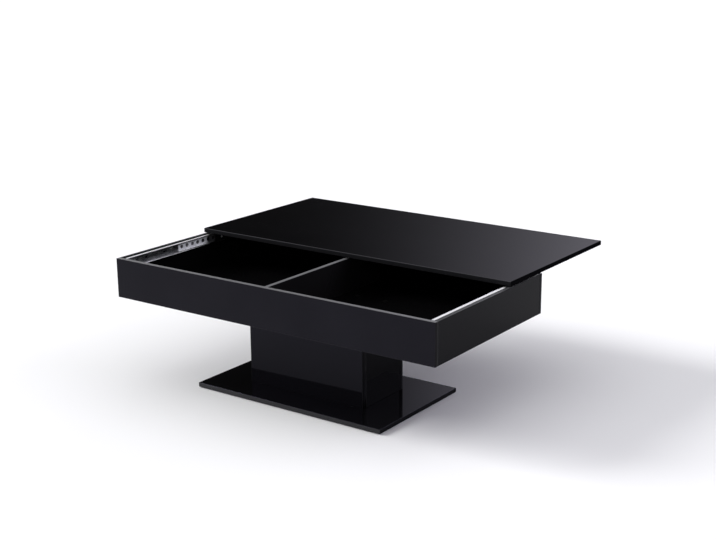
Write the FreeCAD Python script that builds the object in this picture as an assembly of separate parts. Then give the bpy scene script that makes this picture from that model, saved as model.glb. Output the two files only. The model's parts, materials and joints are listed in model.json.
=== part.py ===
import FreeCAD, Part
import os

# Low table with a sliding top.
# A base plate and a hollow column carry an open box; the top board rides over
# the box on two ball slides and is modelled pushed back, with the box open.
# +X to the right, +Y to the back, +Z up; the origin is on the floor, below the
# middle of the base plate. All sizes are millimetres.

Vec = FreeCAD.Vector
X_AXIS = Vec(1, 0, 0)
Y_AXIS = Vec(0, 1, 0)
Z_AXIS = Vec(0, 0, 1)

# ---- boards ---------------------------------------------------------------
table_length = 1000.0       # box and top, along X
table_depth = 500.0         # box and top, along Y
box_height = 106.0
box_board = 12.0            # front, back and end panels of the box
floor_board = 12.0          # box bottom
divider_board = 12.0
divider_drop = 1.0          # divider's top edge below the rim of the box
top_board = 12.0
top_gap = 3.0               # air between the rim of the box and the top
column_width = 365.0
column_depth = 180.0
column_height = 222.0
column_board = 16.0
base_width = 590.0
base_depth = 350.0
base_board = 12.0
edge_ease = 0.8             # rounding of every board edge

# ---- floor pads -----------------------------------------------------------
pad_radius = 12.0
pad_thickness = 2.0
pad_inset = 30.0            # pad centre in from the base plate's edges

# ---- ball slides ----------------------------------------------------------
rail_height = 27.0
rail_depth = 9.6
rail_sheet = 1.2
rail_lip = 3.2              # turned-in edge, from the outside of the flange
rail_bend = 1.5
rail_inset = 1.0            # rail below the rim of the box
rail_front_gap = 6.0        # rail behind the front panel
rail_back_gap = 20.0        # back panel behind the rail
rail_screw_inset = 35.0     # end screws in from the rail's ends
rail_slot_inset = 78.0
rail_slot_length = 9.0
rail_slot_width = 4.6
ball_radius = 2.0
ball_gap = 0.1              # ball to race and ball to cage
race_depth = 0.5
ball_row_inset = 2.2        # ball centres in from the edge of the carriage flange
cage_sheet = 0.6
cage_length = 220.0
cage_gap = 0.8              # cage web to rail web
cage_lip_gap = 0.4          # cage arms to rail lips
cage_hole_pitch = 21.5
cage_hole_radius = 4.0
cage_hole_end = 13.25       # first hole in from the end of the cage
carriage_length = 103.0
carriage_cage_gap = 0.6     # carriage flange edges to cage web
carriage_proud = 0.8        # carriage face beyond the rail lips
bumper_thickness = 3.0
bumper_half_height = 6.5
bumper_gap = 0.5            # carriage to bumper at each end of the travel
bumper_peg_radius = 1.5

# ---- hangers between carriages and top ------------------------------------
hanger_sheet = 2.0
hanger_flange = 25.0
hanger_tail = 1.4           # hanger below the carriage
hanger_bend = 1.5
hanger_screw_offset = 14.0  # top screws in from the upright face
hanger_screw_inset = 15.0   # end screws in from the hanger's ends
link_inset = 22.0           # machine screws in from the carriage's ends

# ---- fasteners ------------------------------------------------------------
fit_gap = 0.05              # radial, fasteners and dowels in their bores
head_gap = 0.1              # countersunk heads in their seats
dowel_radius = 3.0
dowel_in_face = 9.0
dowel_in_edge = 19.0
dowel_end_gap = 1.0
dowel_chamfer = 0.8
cam_radius = 7.5
cam_height = 10.0
cam_pocket_gap = 0.3        # pocket deeper than the cam
cam_reach = 34.0            # cam centre from the joint
cam_bolt_radius = 3.0
cam_bolt_neck_radius = 2.0
cam_bolt_neck = 6.0
cam_bolt_head = 4.0
cam_bolt_gap = 0.3
cam_thread_radius = 2.5
cam_thread = 8.5
cam_recess = 1.6
panel_screw_radius = 2.5
panel_screw_head = 5.0
panel_screw_length = 50.0
panel_screw_tip = 4.0
socket_radius = 2.0
socket_depth = 2.4
cap_radius = 7.0
cap_thickness = 1.2
cap_peg_radius = 1.4
cap_peg = 2.0
wood_screw_radius = 1.75
wood_screw_head = 3.2
wood_screw_length = 11.0
wood_screw_tip = 3.0
top_screw_length = 11.0
pan_head_radius = 3.4
pan_head_height = 2.2
link_radius = 2.0
link_length = 8.0
link_head_radius = 3.5
link_head_height = 2.4
nut_across_flats = 7.0
nut_height = 3.2
recess_width = 0.8
recess_depth = 1.0

# ---- places of fasteners --------------------------------------------------
corner_dowel_inset = 26.0   # corner dowels in from the lower and upper edges
divider_dowel_inset = 18.0
divider_end_inset = 84.0    # outer floor dowels in from the divider's ends
floor_cam_inset = 104.0     # outer cams in from the end panels
floor_dowel_offset = 60.0   # dowels either side of each cam
column_dowel_inset = 35.0
column_screw_inset = 47.5

# ---- derived planes -------------------------------------------------------
base_z0 = pad_thickness
base_z1 = base_z0 + base_board
box_z0 = base_z1 + column_height
floor_z = box_z0 + floor_board
box_z1 = box_z0 + box_height
top_z0 = box_z1 + top_gap
half_length = table_length / 2
half_depth = table_depth / 2
inner_x = half_length - box_board
inner_y = half_depth - box_board
column_x = column_width / 2
column_y = column_depth / 2
column_inner_x = column_x - column_board
column_inner_y = column_y - column_board

rail_y0 = -inner_y + rail_front_gap
rail_y1 = inner_y - rail_back_gap
rail_mid_y = (rail_y0 + rail_y1) / 2
rail_z = box_z1 - rail_inset - rail_height / 2
rail_half = rail_height / 2
end_stop = bumper_thickness + bumper_gap
travel = rail_y1 - rail_y0 - carriage_length - 2 * end_stop
race_radius = ball_radius + ball_gap
ball_v = rail_half - rail_sheet + race_depth - race_radius
carriage_half = ball_v - race_radius + race_depth
cage_u = rail_sheet + cage_gap
carriage_u0 = cage_u + cage_sheet + carriage_cage_gap
carriage_u1 = rail_depth + carriage_proud
ball_u = carriage_u0 + ball_row_inset
carriage_y1 = rail_y1 - end_stop
carriage_y0 = carriage_y1 - carriage_length
cage_y0 = rail_mid_y + travel / 4 - cage_length / 2
cage_y1 = cage_y0 + cage_length
hanger_u1 = carriage_u1 + hanger_sheet

nodes = {}
bores = {}


def add(node, *solids):
    """Put solids into the node of this name."""
    nodes.setdefault(node, []).extend(solids)


def bore(cutter, *names):
    """Cut this shape out of each named node when it is finished."""
    for name in names:
        bores.setdefault(name, []).append(cutter)


def block(x0, x1, y0, y1, z0, z1):
    """A plain box between two corners."""
    return Part.makeBox(x1 - x0, y1 - y0, z1 - z0, Vec(x0, y0, z0))


def board(x0, x1, y0, y1, z0, z1):
    """A finished board: a box with all its edges eased."""
    solid = block(x0, x1, y0, y1, z0, z1)
    return solid.makeFillet(edge_ease, solid.Edges)


def rod(start, axis, radius, length):
    """A cylinder from a point along an axis."""
    return Part.makeCylinder(radius, length, start, axis)


def eased_along_y(solid, radius, wanted):
    """Round the edges that run along Y and whose middle the test accepts."""
    picked = []
    for edge in solid.Edges:
        ends = [vertex.Point for vertex in edge.Vertexes]
        along_y = abs(abs(ends[1].y - ends[0].y) - edge.Length) < 1e-6
        if along_y and wanted((ends[0] + ends[1]) * 0.5):
            picked.append(edge)
    return solid.makeFillet(radius, picked)


def mirrored(solid):
    """The same piece on the right-hand side."""
    return solid.mirror(Vec(0, 0, 0), X_AXIS)


# ---- boards ---------------------------------------------------------------
def make_base():
    add("base_plate", board(-base_width / 2, base_width / 2, -base_depth / 2, base_depth / 2,
                            base_z0, base_z1))
    pad_x = base_width / 2 - pad_inset
    pad_y = base_depth / 2 - pad_inset
    corners = [(sx * pad_x, sy * pad_y) for sx in (-1, 1) for sy in (-1, 1)]
    for x, y in corners + [(0, 0)]:
        add("floor_pads", rod(Vec(x, y, 0), Z_AXIS, pad_radius, pad_thickness))


def make_column():
    add("column_front", board(-column_x, column_x, -column_y, -column_inner_y, base_z1, box_z0))
    add("column_back", board(-column_x, column_x, column_inner_y, column_y, base_z1, box_z0))
    add("column_left", board(-column_x, -column_inner_x, -column_inner_y, column_inner_y,
                             base_z1, box_z0))
    add("column_right", board(column_inner_x, column_x, -column_inner_y, column_inner_y,
                              base_z1, box_z0))


def make_box():
    add("box_front", board(-half_length, half_length, -half_depth, -inner_y, box_z0, box_z1))
    add("box_back", board(-half_length, half_length, inner_y, half_depth, box_z0, box_z1))
    add("box_left_end", board(-half_length, -inner_x, -inner_y, inner_y, box_z0, box_z1))
    add("box_right_end", board(inner_x, half_length, -inner_y, inner_y, box_z0, box_z1))
    add("box_bottom", board(-inner_x, inner_x, -inner_y, inner_y, box_z0, floor_z))
    add("box_divider", board(-divider_board / 2, divider_board / 2, -inner_y, inner_y,
                             floor_z, box_z1 - divider_drop))


def make_top():
    add("sliding_top", board(-half_length, half_length, -half_depth + travel,
                             half_depth + travel, top_z0, top_z0 + top_board))


# ---- board joints ---------------------------------------------------------
def dowel_joint(node, joint, into_edge, face_board, edge_board):
    """A dowel across a joint, from a board's face into the next board's edge."""
    start = joint - into_edge * dowel_in_face
    dowel = rod(start, into_edge, dowel_radius, dowel_in_face + dowel_in_edge)
    rims = [edge for edge in dowel.Edges if len(edge.Vertexes) == 1]
    add(node, dowel.makeChamfer(dowel_chamfer, rims))
    hole = rod(start - into_edge * dowel_end_gap, into_edge, dowel_radius + fit_gap,
               dowel_in_face + dowel_in_edge + 2 * dowel_end_gap)
    bore(hole, face_board, edge_board)


def cross_recess(centre, axis, side, depth, length, width):
    """A cross-shaped cut that sinks into a face against its outward axis."""
    other = axis.cross(side)
    arms = []
    for along, across in ((side, other), (other, side)):
        corner = centre - along * (length / 2) - across * (width / 2) - axis * depth
        profile = Part.makePolygon([corner, corner + along * length,
                                    corner + along * length + across * width,
                                    corner + across * width, corner])
        arms.append(Part.Face(profile).extrude(axis * depth))
    return arms[0].fuse(arms[1])


def cam_joint(locks, bolts, joint, into_edge, outward, face_board, edge_board):
    """A cam lock in one board that draws a bolt screwed into the other.

    joint is at mid thickness of the edge board; outward is the normal of the
    face that the cam is let into.
    """
    edge_half = {"box_left_end": box_board, "box_right_end": box_board,
                 "box_bottom": floor_board}[edge_board] / 2
    centre = joint + into_edge * cam_reach
    shaft = cam_reach - cam_bolt_head / 2 - cam_bolt_neck
    neck_start = joint + into_edge * shaft
    head_start = neck_start + into_edge * cam_bolt_neck
    thread = rod(joint - into_edge * cam_thread, into_edge, cam_thread_radius, cam_thread)
    body = rod(joint, into_edge, cam_bolt_radius, shaft)
    neck = rod(neck_start, into_edge, cam_bolt_neck_radius, cam_bolt_neck)
    head = rod(head_start, into_edge, cam_bolt_radius, cam_bolt_head)
    add(bolts, thread.fuse([body, neck, head]))

    face = centre + outward * edge_half
    cam = rod(face - outward * cam_height, outward, cam_radius, cam_height)
    mouth_radius = cam_bolt_radius + cam_bolt_gap
    mouth = rod(centre - into_edge * cam_radius * 2, into_edge, mouth_radius,
                cam_radius * 2 + cam_bolt_head / 2 + cam_bolt_gap)
    recess = cross_recess(face, outward, into_edge, cam_recess, cam_radius, recess_width * 2)
    add(locks, cam.cut([mouth, recess]))

    pocket_depth = cam_height + cam_pocket_gap
    bore(rod(face - outward * pocket_depth, outward, cam_radius + fit_gap, pocket_depth),
         edge_board)
    bore(rod(joint, into_edge, mouth_radius, cam_reach), edge_board)
    bore(rod(joint - into_edge * (cam_thread + dowel_end_gap), into_edge,
             cam_thread_radius + fit_gap, cam_thread + dowel_end_gap), face_board)


def join_box_corners():
    low = box_z0 + corner_dowel_inset
    high = box_z1 - corner_dowel_inset
    for side, end_board in ((-1, "box_left_end"), (1, "box_right_end")):
        x = side * (half_length - box_board / 2)
        for direction, long_board in ((1, "box_front"), (-1, "box_back")):
            y = -direction * inner_y
            for z in (low, high):
                dowel_joint("box_corner_dowels", Vec(x, y, z), Y_AXIS * direction,
                            long_board, end_board)
            cam_joint("box_corner_cams", "box_corner_bolts", Vec(x, y, (low + high) / 2),
                      Y_AXIS * direction, X_AXIS * -side, long_board, end_board)


def join_box_bottom():
    z = box_z0 + floor_board / 2
    outer = inner_x - floor_cam_inset
    for direction, long_board in ((1, "box_front"), (-1, "box_back")):
        y = -direction * inner_y
        for x in (-outer, 0, outer):
            cam_joint("box_bottom_cams", "box_bottom_bolts", Vec(x, y, z),
                      Y_AXIS * direction, -Z_AXIS, long_board, "box_bottom")
            for shift in (-floor_dowel_offset, floor_dowel_offset):
                dowel_joint("box_bottom_dowels", Vec(x + shift, y, z), Y_AXIS * direction,
                            long_board, "box_bottom")
    for side, end_board in ((-1, "box_left_end"), (1, "box_right_end")):
        x = side * inner_x
        cam_joint("box_bottom_cams", "box_bottom_bolts", Vec(x, 0, z),
                  X_AXIS * -side, -Z_AXIS, end_board, "box_bottom")
        for shift in (-floor_dowel_offset, floor_dowel_offset):
            dowel_joint("box_bottom_dowels", Vec(x, shift, z), X_AXIS * -side,
                        end_board, "box_bottom")


def join_divider():
    low = floor_z + divider_dowel_inset
    high = box_z1 - divider_drop - divider_dowel_inset
    for direction, long_board in ((1, "box_front"), (-1, "box_back")):
        for z in (low, high):
            dowel_joint("divider_dowels", Vec(0, -direction * inner_y, z),
                        Y_AXIS * direction, long_board, "box_divider")
    outer = inner_y - divider_end_inset
    for y in (-outer, 0, outer):
        dowel_joint("divider_dowels", Vec(0, y, floor_z), Z_AXIS, "box_bottom", "box_divider")


def join_column():
    low = base_z1 + column_dowel_inset
    high = box_z0 - column_dowel_inset
    for side, end_board in ((-1, "column_left"), (1, "column_right")):
        x = side * (column_x - column_board / 2)
        for direction, long_board in ((1, "column_front"), (-1, "column_back")):
            for z in (low, (low + high) / 2, high):
                dowel_joint("column_dowels", Vec(x, -direction * column_inner_y, z),
                            Y_AXIS * direction, long_board, end_board)


# ---- panel screws ---------------------------------------------------------
def countersunk(face, axis, radius, head, length, tip, gap):
    """A countersunk screw, or with a gap the bore for it, from its head's face."""
    head_height = head - radius
    cone = Part.makeCone(head + gap, radius + gap, head_height, face, axis)
    shank_length = length - head_height - tip
    shank = rod(face + axis * head_height, axis, radius + gap, shank_length)
    point = Part.makeCone(radius + gap, radius / 4 + gap, tip, face + axis * (length - tip), axis)
    return cone.fuse([shank, point])


def column_screw_places():
    """Points in plan, with the column board below or above each of them."""
    outer = column_x - column_screw_inset
    places = []
    for x in (-outer, -outer / 3, outer / 3, outer):
        places.append((x, -column_y + column_board / 2, "column_front"))
        places.append((x, column_y - column_board / 2, "column_back"))
    places.append((-column_x + column_board / 2, 0, "column_left"))
    places.append((column_x - column_board / 2, 0, "column_right"))
    return places


def screw_boards_to_column():
    """Screws up through the base plate and down through the box bottom."""
    for x, y, column_name in column_screw_places():
        for node, z, axis, plate in (("base_screws", base_z0, Z_AXIS, "base_plate"),
                                     ("column_top_screws", floor_z, -Z_AXIS, "box_bottom")):
            face = Vec(x, y, z)
            screw = countersunk(face, axis, panel_screw_radius, panel_screw_head,
                                panel_screw_length, panel_screw_tip, 0)
            add(node, screw.cut(rod(face, axis, socket_radius, socket_depth)))
            hole = countersunk(face, axis, panel_screw_radius, panel_screw_head,
                               panel_screw_length, panel_screw_tip, head_gap)
            bore(hole, plate, column_name)
        disc = rod(Vec(x, y, floor_z), Z_AXIS, cap_radius, cap_thickness)
        rims = [edge for edge in disc.Edges if abs(edge.CenterOfMass.z - floor_z) > 1e-6
                and len(edge.Vertexes) == 1]
        disc = disc.makeFillet(cap_thickness / 2, rims)
        peg = rod(Vec(x, y, floor_z), -Z_AXIS, cap_peg_radius, cap_peg)
        add("screw_caps", disc.fuse(peg))


# ---- ball slides ----------------------------------------------------------
# The left slide is built with u, the distance from the end panel's inner face
# towards the middle of the box, and v, the height above the rail's middle.
def slide_point(u, y, v):
    return Vec(-inner_x + u, y, rail_z + v)


def slide_block(u0, u1, y0, y1, v0, v1):
    return block(-inner_x + u0, -inner_x + u1, y0, y1, rail_z + v0, rail_z + v1)


def race_grooves(y0, y1):
    """Two rods that cut the ball races into flanges between y0 and y1."""
    return [rod(slide_point(ball_u, y0, v), Y_AXIS, race_radius, y1 - y0)
            for v in (-ball_v, ball_v)]


def rail_screw_rows():
    return (rail_y0 + rail_screw_inset, rail_mid_y, rail_y1 - rail_screw_inset)


def rail_screw(y, gap):
    return countersunk(slide_point(rail_sheet, y, 0), -X_AXIS, wood_screw_radius,
                       wood_screw_head, wood_screw_length, wood_screw_tip, gap)


def make_rail():
    """The fixed channel, open towards the middle of the box."""
    shell = slide_block(0, rail_depth, rail_y0, rail_y1, -rail_half, rail_half)
    shell = eased_along_y(shell, rail_bend, lambda middle: True)
    room = rail_half - rail_sheet
    hollow = slide_block(rail_sheet, rail_depth - rail_sheet, rail_y0, rail_y1, -room, room)
    mouth_half = rail_half - rail_lip
    mouth = slide_block(rail_sheet, rail_depth, rail_y0, rail_y1, -mouth_half, mouth_half)
    cutters = [hollow, mouth] + race_grooves(rail_y0, rail_y1)
    for y in rail_screw_rows():
        cutters.append(rail_screw(y, head_gap))
    for y in (rail_y0 + rail_slot_inset, rail_mid_y - rail_slot_inset,
              rail_mid_y + rail_slot_inset, rail_y1 - rail_slot_inset):
        straight = (rail_slot_length - rail_slot_width) / 2
        radius = rail_slot_width / 2
        slot = slide_block(0, rail_sheet, y - straight, y + straight, -radius, radius)
        ends = [rod(slide_point(0, y + shift, 0), X_AXIS, radius, rail_sheet)
                for shift in (-straight, straight)]
        cutters.append(slot.fuse(ends))
    for y in bumper_rows():
        cutters.append(rod(slide_point(0, y, 0), X_AXIS, bumper_peg_radius + fit_gap, rail_sheet))
    return shell.cut(cutters)


def bumper_rows():
    """The middles of the two rubber bumpers along the rail."""
    return (rail_y0 + bumper_thickness / 2, rail_y1 - bumper_thickness / 2)


def make_bumper(y):
    """A rubber block with a peg in the rail's web, in the way of the carriage."""
    body = slide_block(rail_sheet, rail_depth, y - bumper_thickness / 2, y + bumper_thickness / 2,
                       -bumper_half_height, bumper_half_height)
    peg = rod(slide_point(rail_sheet, y, 0), -X_AXIS, bumper_peg_radius, rail_sheet - head_gap)
    return body.fuse(peg)


def cage_hole_rows():
    count = int((cage_length - 2 * cage_hole_end) / cage_hole_pitch + 1e-6) + 1
    first = (cage_y0 + cage_y1 - (count - 1) * cage_hole_pitch) / 2
    return [first + cage_hole_pitch * index for index in range(count)]


def ball_rows():
    """Balls sit midway between the holes of the cage."""
    holes = cage_hole_rows()
    return [(here + following) / 2 for here, following in zip(holes, holes[1:])]


def make_cage():
    """A thin pressed strip with a web and two arms that hold the balls."""
    arm = ball_v + cage_sheet / 2
    arm_end = rail_depth - rail_sheet - cage_lip_gap
    shell = slide_block(cage_u, arm_end, cage_y0, cage_y1, -arm, arm)
    web_x = slide_point(cage_u, 0, 0).x
    shell = eased_along_y(shell, cage_sheet, lambda middle: abs(middle.x - web_x) < 1e-6)
    inner = arm - cage_sheet
    cutters = [slide_block(cage_u + cage_sheet, arm_end, cage_y0, cage_y1, -inner, inner)]
    for y in cage_hole_rows():
        cutters.append(rod(slide_point(cage_u, y, 0), X_AXIS, cage_hole_radius, cage_sheet))
    for y in ball_rows():
        cutters.append(rod(slide_point(ball_u, y, -arm), Z_AXIS, race_radius, 2 * arm))
    return shell.cut(cutters)


def make_balls():
    return [Part.makeSphere(ball_radius, slide_point(ball_u, y, v))
            for y in ball_rows() for v in (-ball_v, ball_v)]


def link_rows():
    return (carriage_y0 + link_inset, (carriage_y0 + carriage_y1) / 2, carriage_y1 - link_inset)


def make_carriage():
    """The short moving channel that runs in the rail."""
    shell = slide_block(carriage_u0, carriage_u1, carriage_y0, carriage_y1,
                        -carriage_half, carriage_half)
    face_x = slide_point(carriage_u1, 0, 0).x
    shell = eased_along_y(shell, rail_bend, lambda middle: abs(middle.x - face_x) < 1e-6)
    room = carriage_half - rail_sheet
    cutters = [slide_block(carriage_u0, carriage_u1 - rail_sheet, carriage_y0, carriage_y1,
                           -room, room)]
    cutters += race_grooves(carriage_y0, carriage_y1)
    for y in link_rows():
        cutters.append(rod(slide_point(carriage_u0, y, 0), X_AXIS, link_radius + head_gap,
                           carriage_u1 - carriage_u0))
    return shell.cut(cutters)


def hanger_screw_rows():
    return (carriage_y0 + hanger_screw_inset, (carriage_y0 + carriage_y1) / 2,
            carriage_y1 - hanger_screw_inset)


def make_hanger():
    """A steel angle: upright on the carriage, flange under the top."""
    upright_foot = -carriage_half - hanger_tail
    head = top_z0 - rail_z
    upright = slide_block(carriage_u1, hanger_u1, carriage_y0, carriage_y1, upright_foot, head)
    flange = slide_block(carriage_u1, carriage_u1 + hanger_flange, carriage_y0, carriage_y1,
                         head - hanger_sheet, head)
    corner_x = slide_point(carriage_u1, 0, 0).x
    angle = upright.fuse(flange).removeSplitter()
    angle = eased_along_y(angle, hanger_bend,
                          lambda middle: abs(middle.x - corner_x) < 1e-6
                          and abs(middle.z - top_z0) < 1e-6)
    cutters = [rod(slide_point(carriage_u1, y, 0), X_AXIS, link_radius + head_gap, hanger_sheet)
               for y in link_rows()]
    for y in hanger_screw_rows():
        cutters.append(rod(slide_point(carriage_u1 + hanger_screw_offset, y, head - hanger_sheet),
                           Z_AXIS, wood_screw_radius + head_gap, hanger_sheet))
    return angle.cut(cutters)


def pan_screw(face, axis, radius, length, head_radius, head_height, side):
    """A screw whose domed head stands on a face; the shank runs along axis."""
    head = rod(face - axis * head_height, axis, head_radius, head_height)
    rims = [edge for edge in head.Edges if len(edge.Vertexes) == 1
            and (edge.CenterOfMass - face).Length > head_height / 2]
    head = head.makeFillet(head_height / 2, rims)
    recess = cross_recess(face - axis * head_height, -axis, side, recess_depth,
                          head_radius, recess_width)
    shank = rod(face, axis, radius, length)
    return head.cut(recess).fuse(shank)


def make_link_screws():
    seat = carriage_u1 - rail_sheet
    return [pan_screw(slide_point(seat, y, 0), X_AXIS, link_radius, link_length,
                      link_head_radius, link_head_height, Y_AXIS) for y in link_rows()]


def make_nut(y):
    """A hexagon nut on the free side of the hanger."""
    corner_radius = nut_across_flats / 3 ** 0.5
    centre = slide_point(hanger_u1, y, 0)
    turn = FreeCAD.Rotation(X_AXIS, 60)
    arm = Z_AXIS * corner_radius
    corners = []
    for _ in range(6):
        corners.append(centre + arm)
        arm = turn.multVec(arm)
    blank = Part.Face(Part.makePolygon(corners + corners[:1])).extrude(X_AXIS * nut_height)
    return blank.cut(rod(centre, X_AXIS, link_radius + fit_gap, nut_height))


def make_top_screws():
    """Short screws through the hanger flange into the underside of the top."""
    foot = top_z0 - rail_z - hanger_sheet
    screws = []
    for y in hanger_screw_rows():
        seat = slide_point(carriage_u1 + hanger_screw_offset, y, foot)
        screws.append(pan_screw(seat, Z_AXIS, wood_screw_radius, top_screw_length,
                                pan_head_radius, pan_head_height, X_AXIS))
    return screws


def top_screw_holes():
    return [rod(slide_point(carriage_u1 + hanger_screw_offset, y, top_z0 - rail_z), Z_AXIS,
                wood_screw_radius + fit_gap, top_screw_length - hanger_sheet + fit_gap)
            for y in hanger_screw_rows()]


def add_slides():
    """Each slide's pieces on the left, and their mirror images on the right."""
    groups = {
        "slide_rail": [make_rail()],
        "rail_bumpers": [make_bumper(y) for y in bumper_rows()],
        "rail_screws": [rail_screw(y, 0).cut(rail_screw_recess(y)) for y in rail_screw_rows()],
        "ball_cage": [make_cage()],
        "cage_balls": make_balls(),
        "slide_carriage": [make_carriage()],
        "top_hanger": [make_hanger()],
        "carriage_screws": make_link_screws(),
        "carriage_nuts": [make_nut(y) for y in link_rows()],
    }
    for name, solids in groups.items():
        add("left_" + name, *solids)
        add("right_" + name, *[mirrored(solid) for solid in solids])
    screws = make_top_screws()
    add("top_screws", *screws)
    add("top_screws", *[mirrored(screw) for screw in screws])
    for hole in top_screw_holes():
        bore(hole, "sliding_top")
        bore(mirrored(hole), "sliding_top")
    for y in rail_screw_rows():
        hole = rail_screw(y, head_gap)
        bore(hole, "box_left_end")
        bore(mirrored(hole), "box_right_end")


def rail_screw_recess(y):
    return cross_recess(slide_point(rail_sheet, y, 0), X_AXIS, Y_AXIS, recess_depth,
                        wood_screw_head, recess_width)


def write_steps():
    os.makedirs("parts", exist_ok=True)
    for name, solids in nodes.items():
        if name in bores:
            solids = [solid.cut(bores[name]) for solid in solids]
        pieces = [piece for solid in solids for piece in solid.Solids]
        shape = pieces[0] if len(pieces) == 1 else Part.makeCompound(pieces)
        shape.exportStep("parts/" + name + ".step")
        print(name, len(pieces), "solid(s), valid", shape.isValid(), "volume",
              round(shape.Volume, 1))


make_base()
make_column()
make_box()
make_top()
join_box_corners()
join_box_bottom()
join_divider()
join_column()
screw_boards_to_column()
add_slides()
write_steps()
print("travel of the top", travel, "and of each ball cage", travel / 2)
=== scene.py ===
import json
import math

import bmesh
import bpy
from bpy.props import FloatProperty, FloatVectorProperty, IntProperty, PointerProperty
from mathutils import Euler, Matrix, Vector

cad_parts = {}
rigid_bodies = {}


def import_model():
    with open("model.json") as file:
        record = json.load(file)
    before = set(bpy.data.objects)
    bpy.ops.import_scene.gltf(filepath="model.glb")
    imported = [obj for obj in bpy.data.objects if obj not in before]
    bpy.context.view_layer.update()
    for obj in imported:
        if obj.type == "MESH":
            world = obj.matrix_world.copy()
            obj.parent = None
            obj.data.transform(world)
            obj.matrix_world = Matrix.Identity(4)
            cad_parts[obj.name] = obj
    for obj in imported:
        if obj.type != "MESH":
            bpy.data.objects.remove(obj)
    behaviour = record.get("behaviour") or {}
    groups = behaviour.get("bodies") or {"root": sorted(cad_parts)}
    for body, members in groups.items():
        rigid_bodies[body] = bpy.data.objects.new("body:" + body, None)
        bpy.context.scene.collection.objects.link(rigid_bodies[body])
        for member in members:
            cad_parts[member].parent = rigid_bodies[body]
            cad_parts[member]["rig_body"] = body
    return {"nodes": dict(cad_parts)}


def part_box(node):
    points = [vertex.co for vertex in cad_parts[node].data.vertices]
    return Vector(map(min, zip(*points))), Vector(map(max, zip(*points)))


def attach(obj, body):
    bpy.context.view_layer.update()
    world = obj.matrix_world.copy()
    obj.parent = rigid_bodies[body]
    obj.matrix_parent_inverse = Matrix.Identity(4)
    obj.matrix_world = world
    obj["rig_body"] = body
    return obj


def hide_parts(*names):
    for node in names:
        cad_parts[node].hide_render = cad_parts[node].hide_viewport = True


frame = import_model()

bl_info = {
    "name": "Sliding Top Table",
    "version": (1, 0, 0),
    "blender": (4, 5, 0),
    "location": "3D View > Sidebar > Table",
    "description": "Finishes and small fittings of a low table whose top slides back",
    "category": "Object",
}

MM = 0.001
SAME_SPOT = 0.001 * MM
SHARP = math.radians(35)
QUARTER = math.pi / 2
NODES = frame["nodes"]
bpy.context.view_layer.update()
SLOTS = {name: node.data.materials[0].name.split(".")[0] for name, node in NODES.items()}
LONG_BOARDS = ("box_front", "box_back", "column_front", "column_back")
END_PANELS = ("box_left_end", "box_right_end", "column_left", "column_right")
UPRIGHT = Euler((0, 0, 0))
INVERTED = Euler((math.pi, 0, 0))
ALONG_X = Euler((0, QUARTER, 0))
AGAINST_X = Euler((0, -QUARTER, 0))
ALONG_Y = Euler((-QUARTER, 0, 0))
# per side: the way inward along X, and the turns that point a fastener inward and outward
SIDES = {"left": (1, ALONG_X, AGAINST_X), "right": (-1, AGAINST_X, ALONG_X)}


# ---- what a user would change ------------------------------------------------
def length(name, what, default):
    return FloatProperty(name=name, description=what, default=default, min=0, unit="LENGTH", precision=5)


def share(name, what, default, top=1.0):
    return FloatProperty(name=name, description=what, default=default, min=0, max=top, precision=4)


def angle(name, what, degrees):
    return FloatProperty(name=name, description=what, default=math.radians(degrees), subtype="ANGLE",
                         unit="ROTATION")


def colour(name, what, default):
    return FloatVectorProperty(name=name, description="Colour of " + what, default=default, size=3,
                               min=0, max=1, subtype="COLOR")


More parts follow.
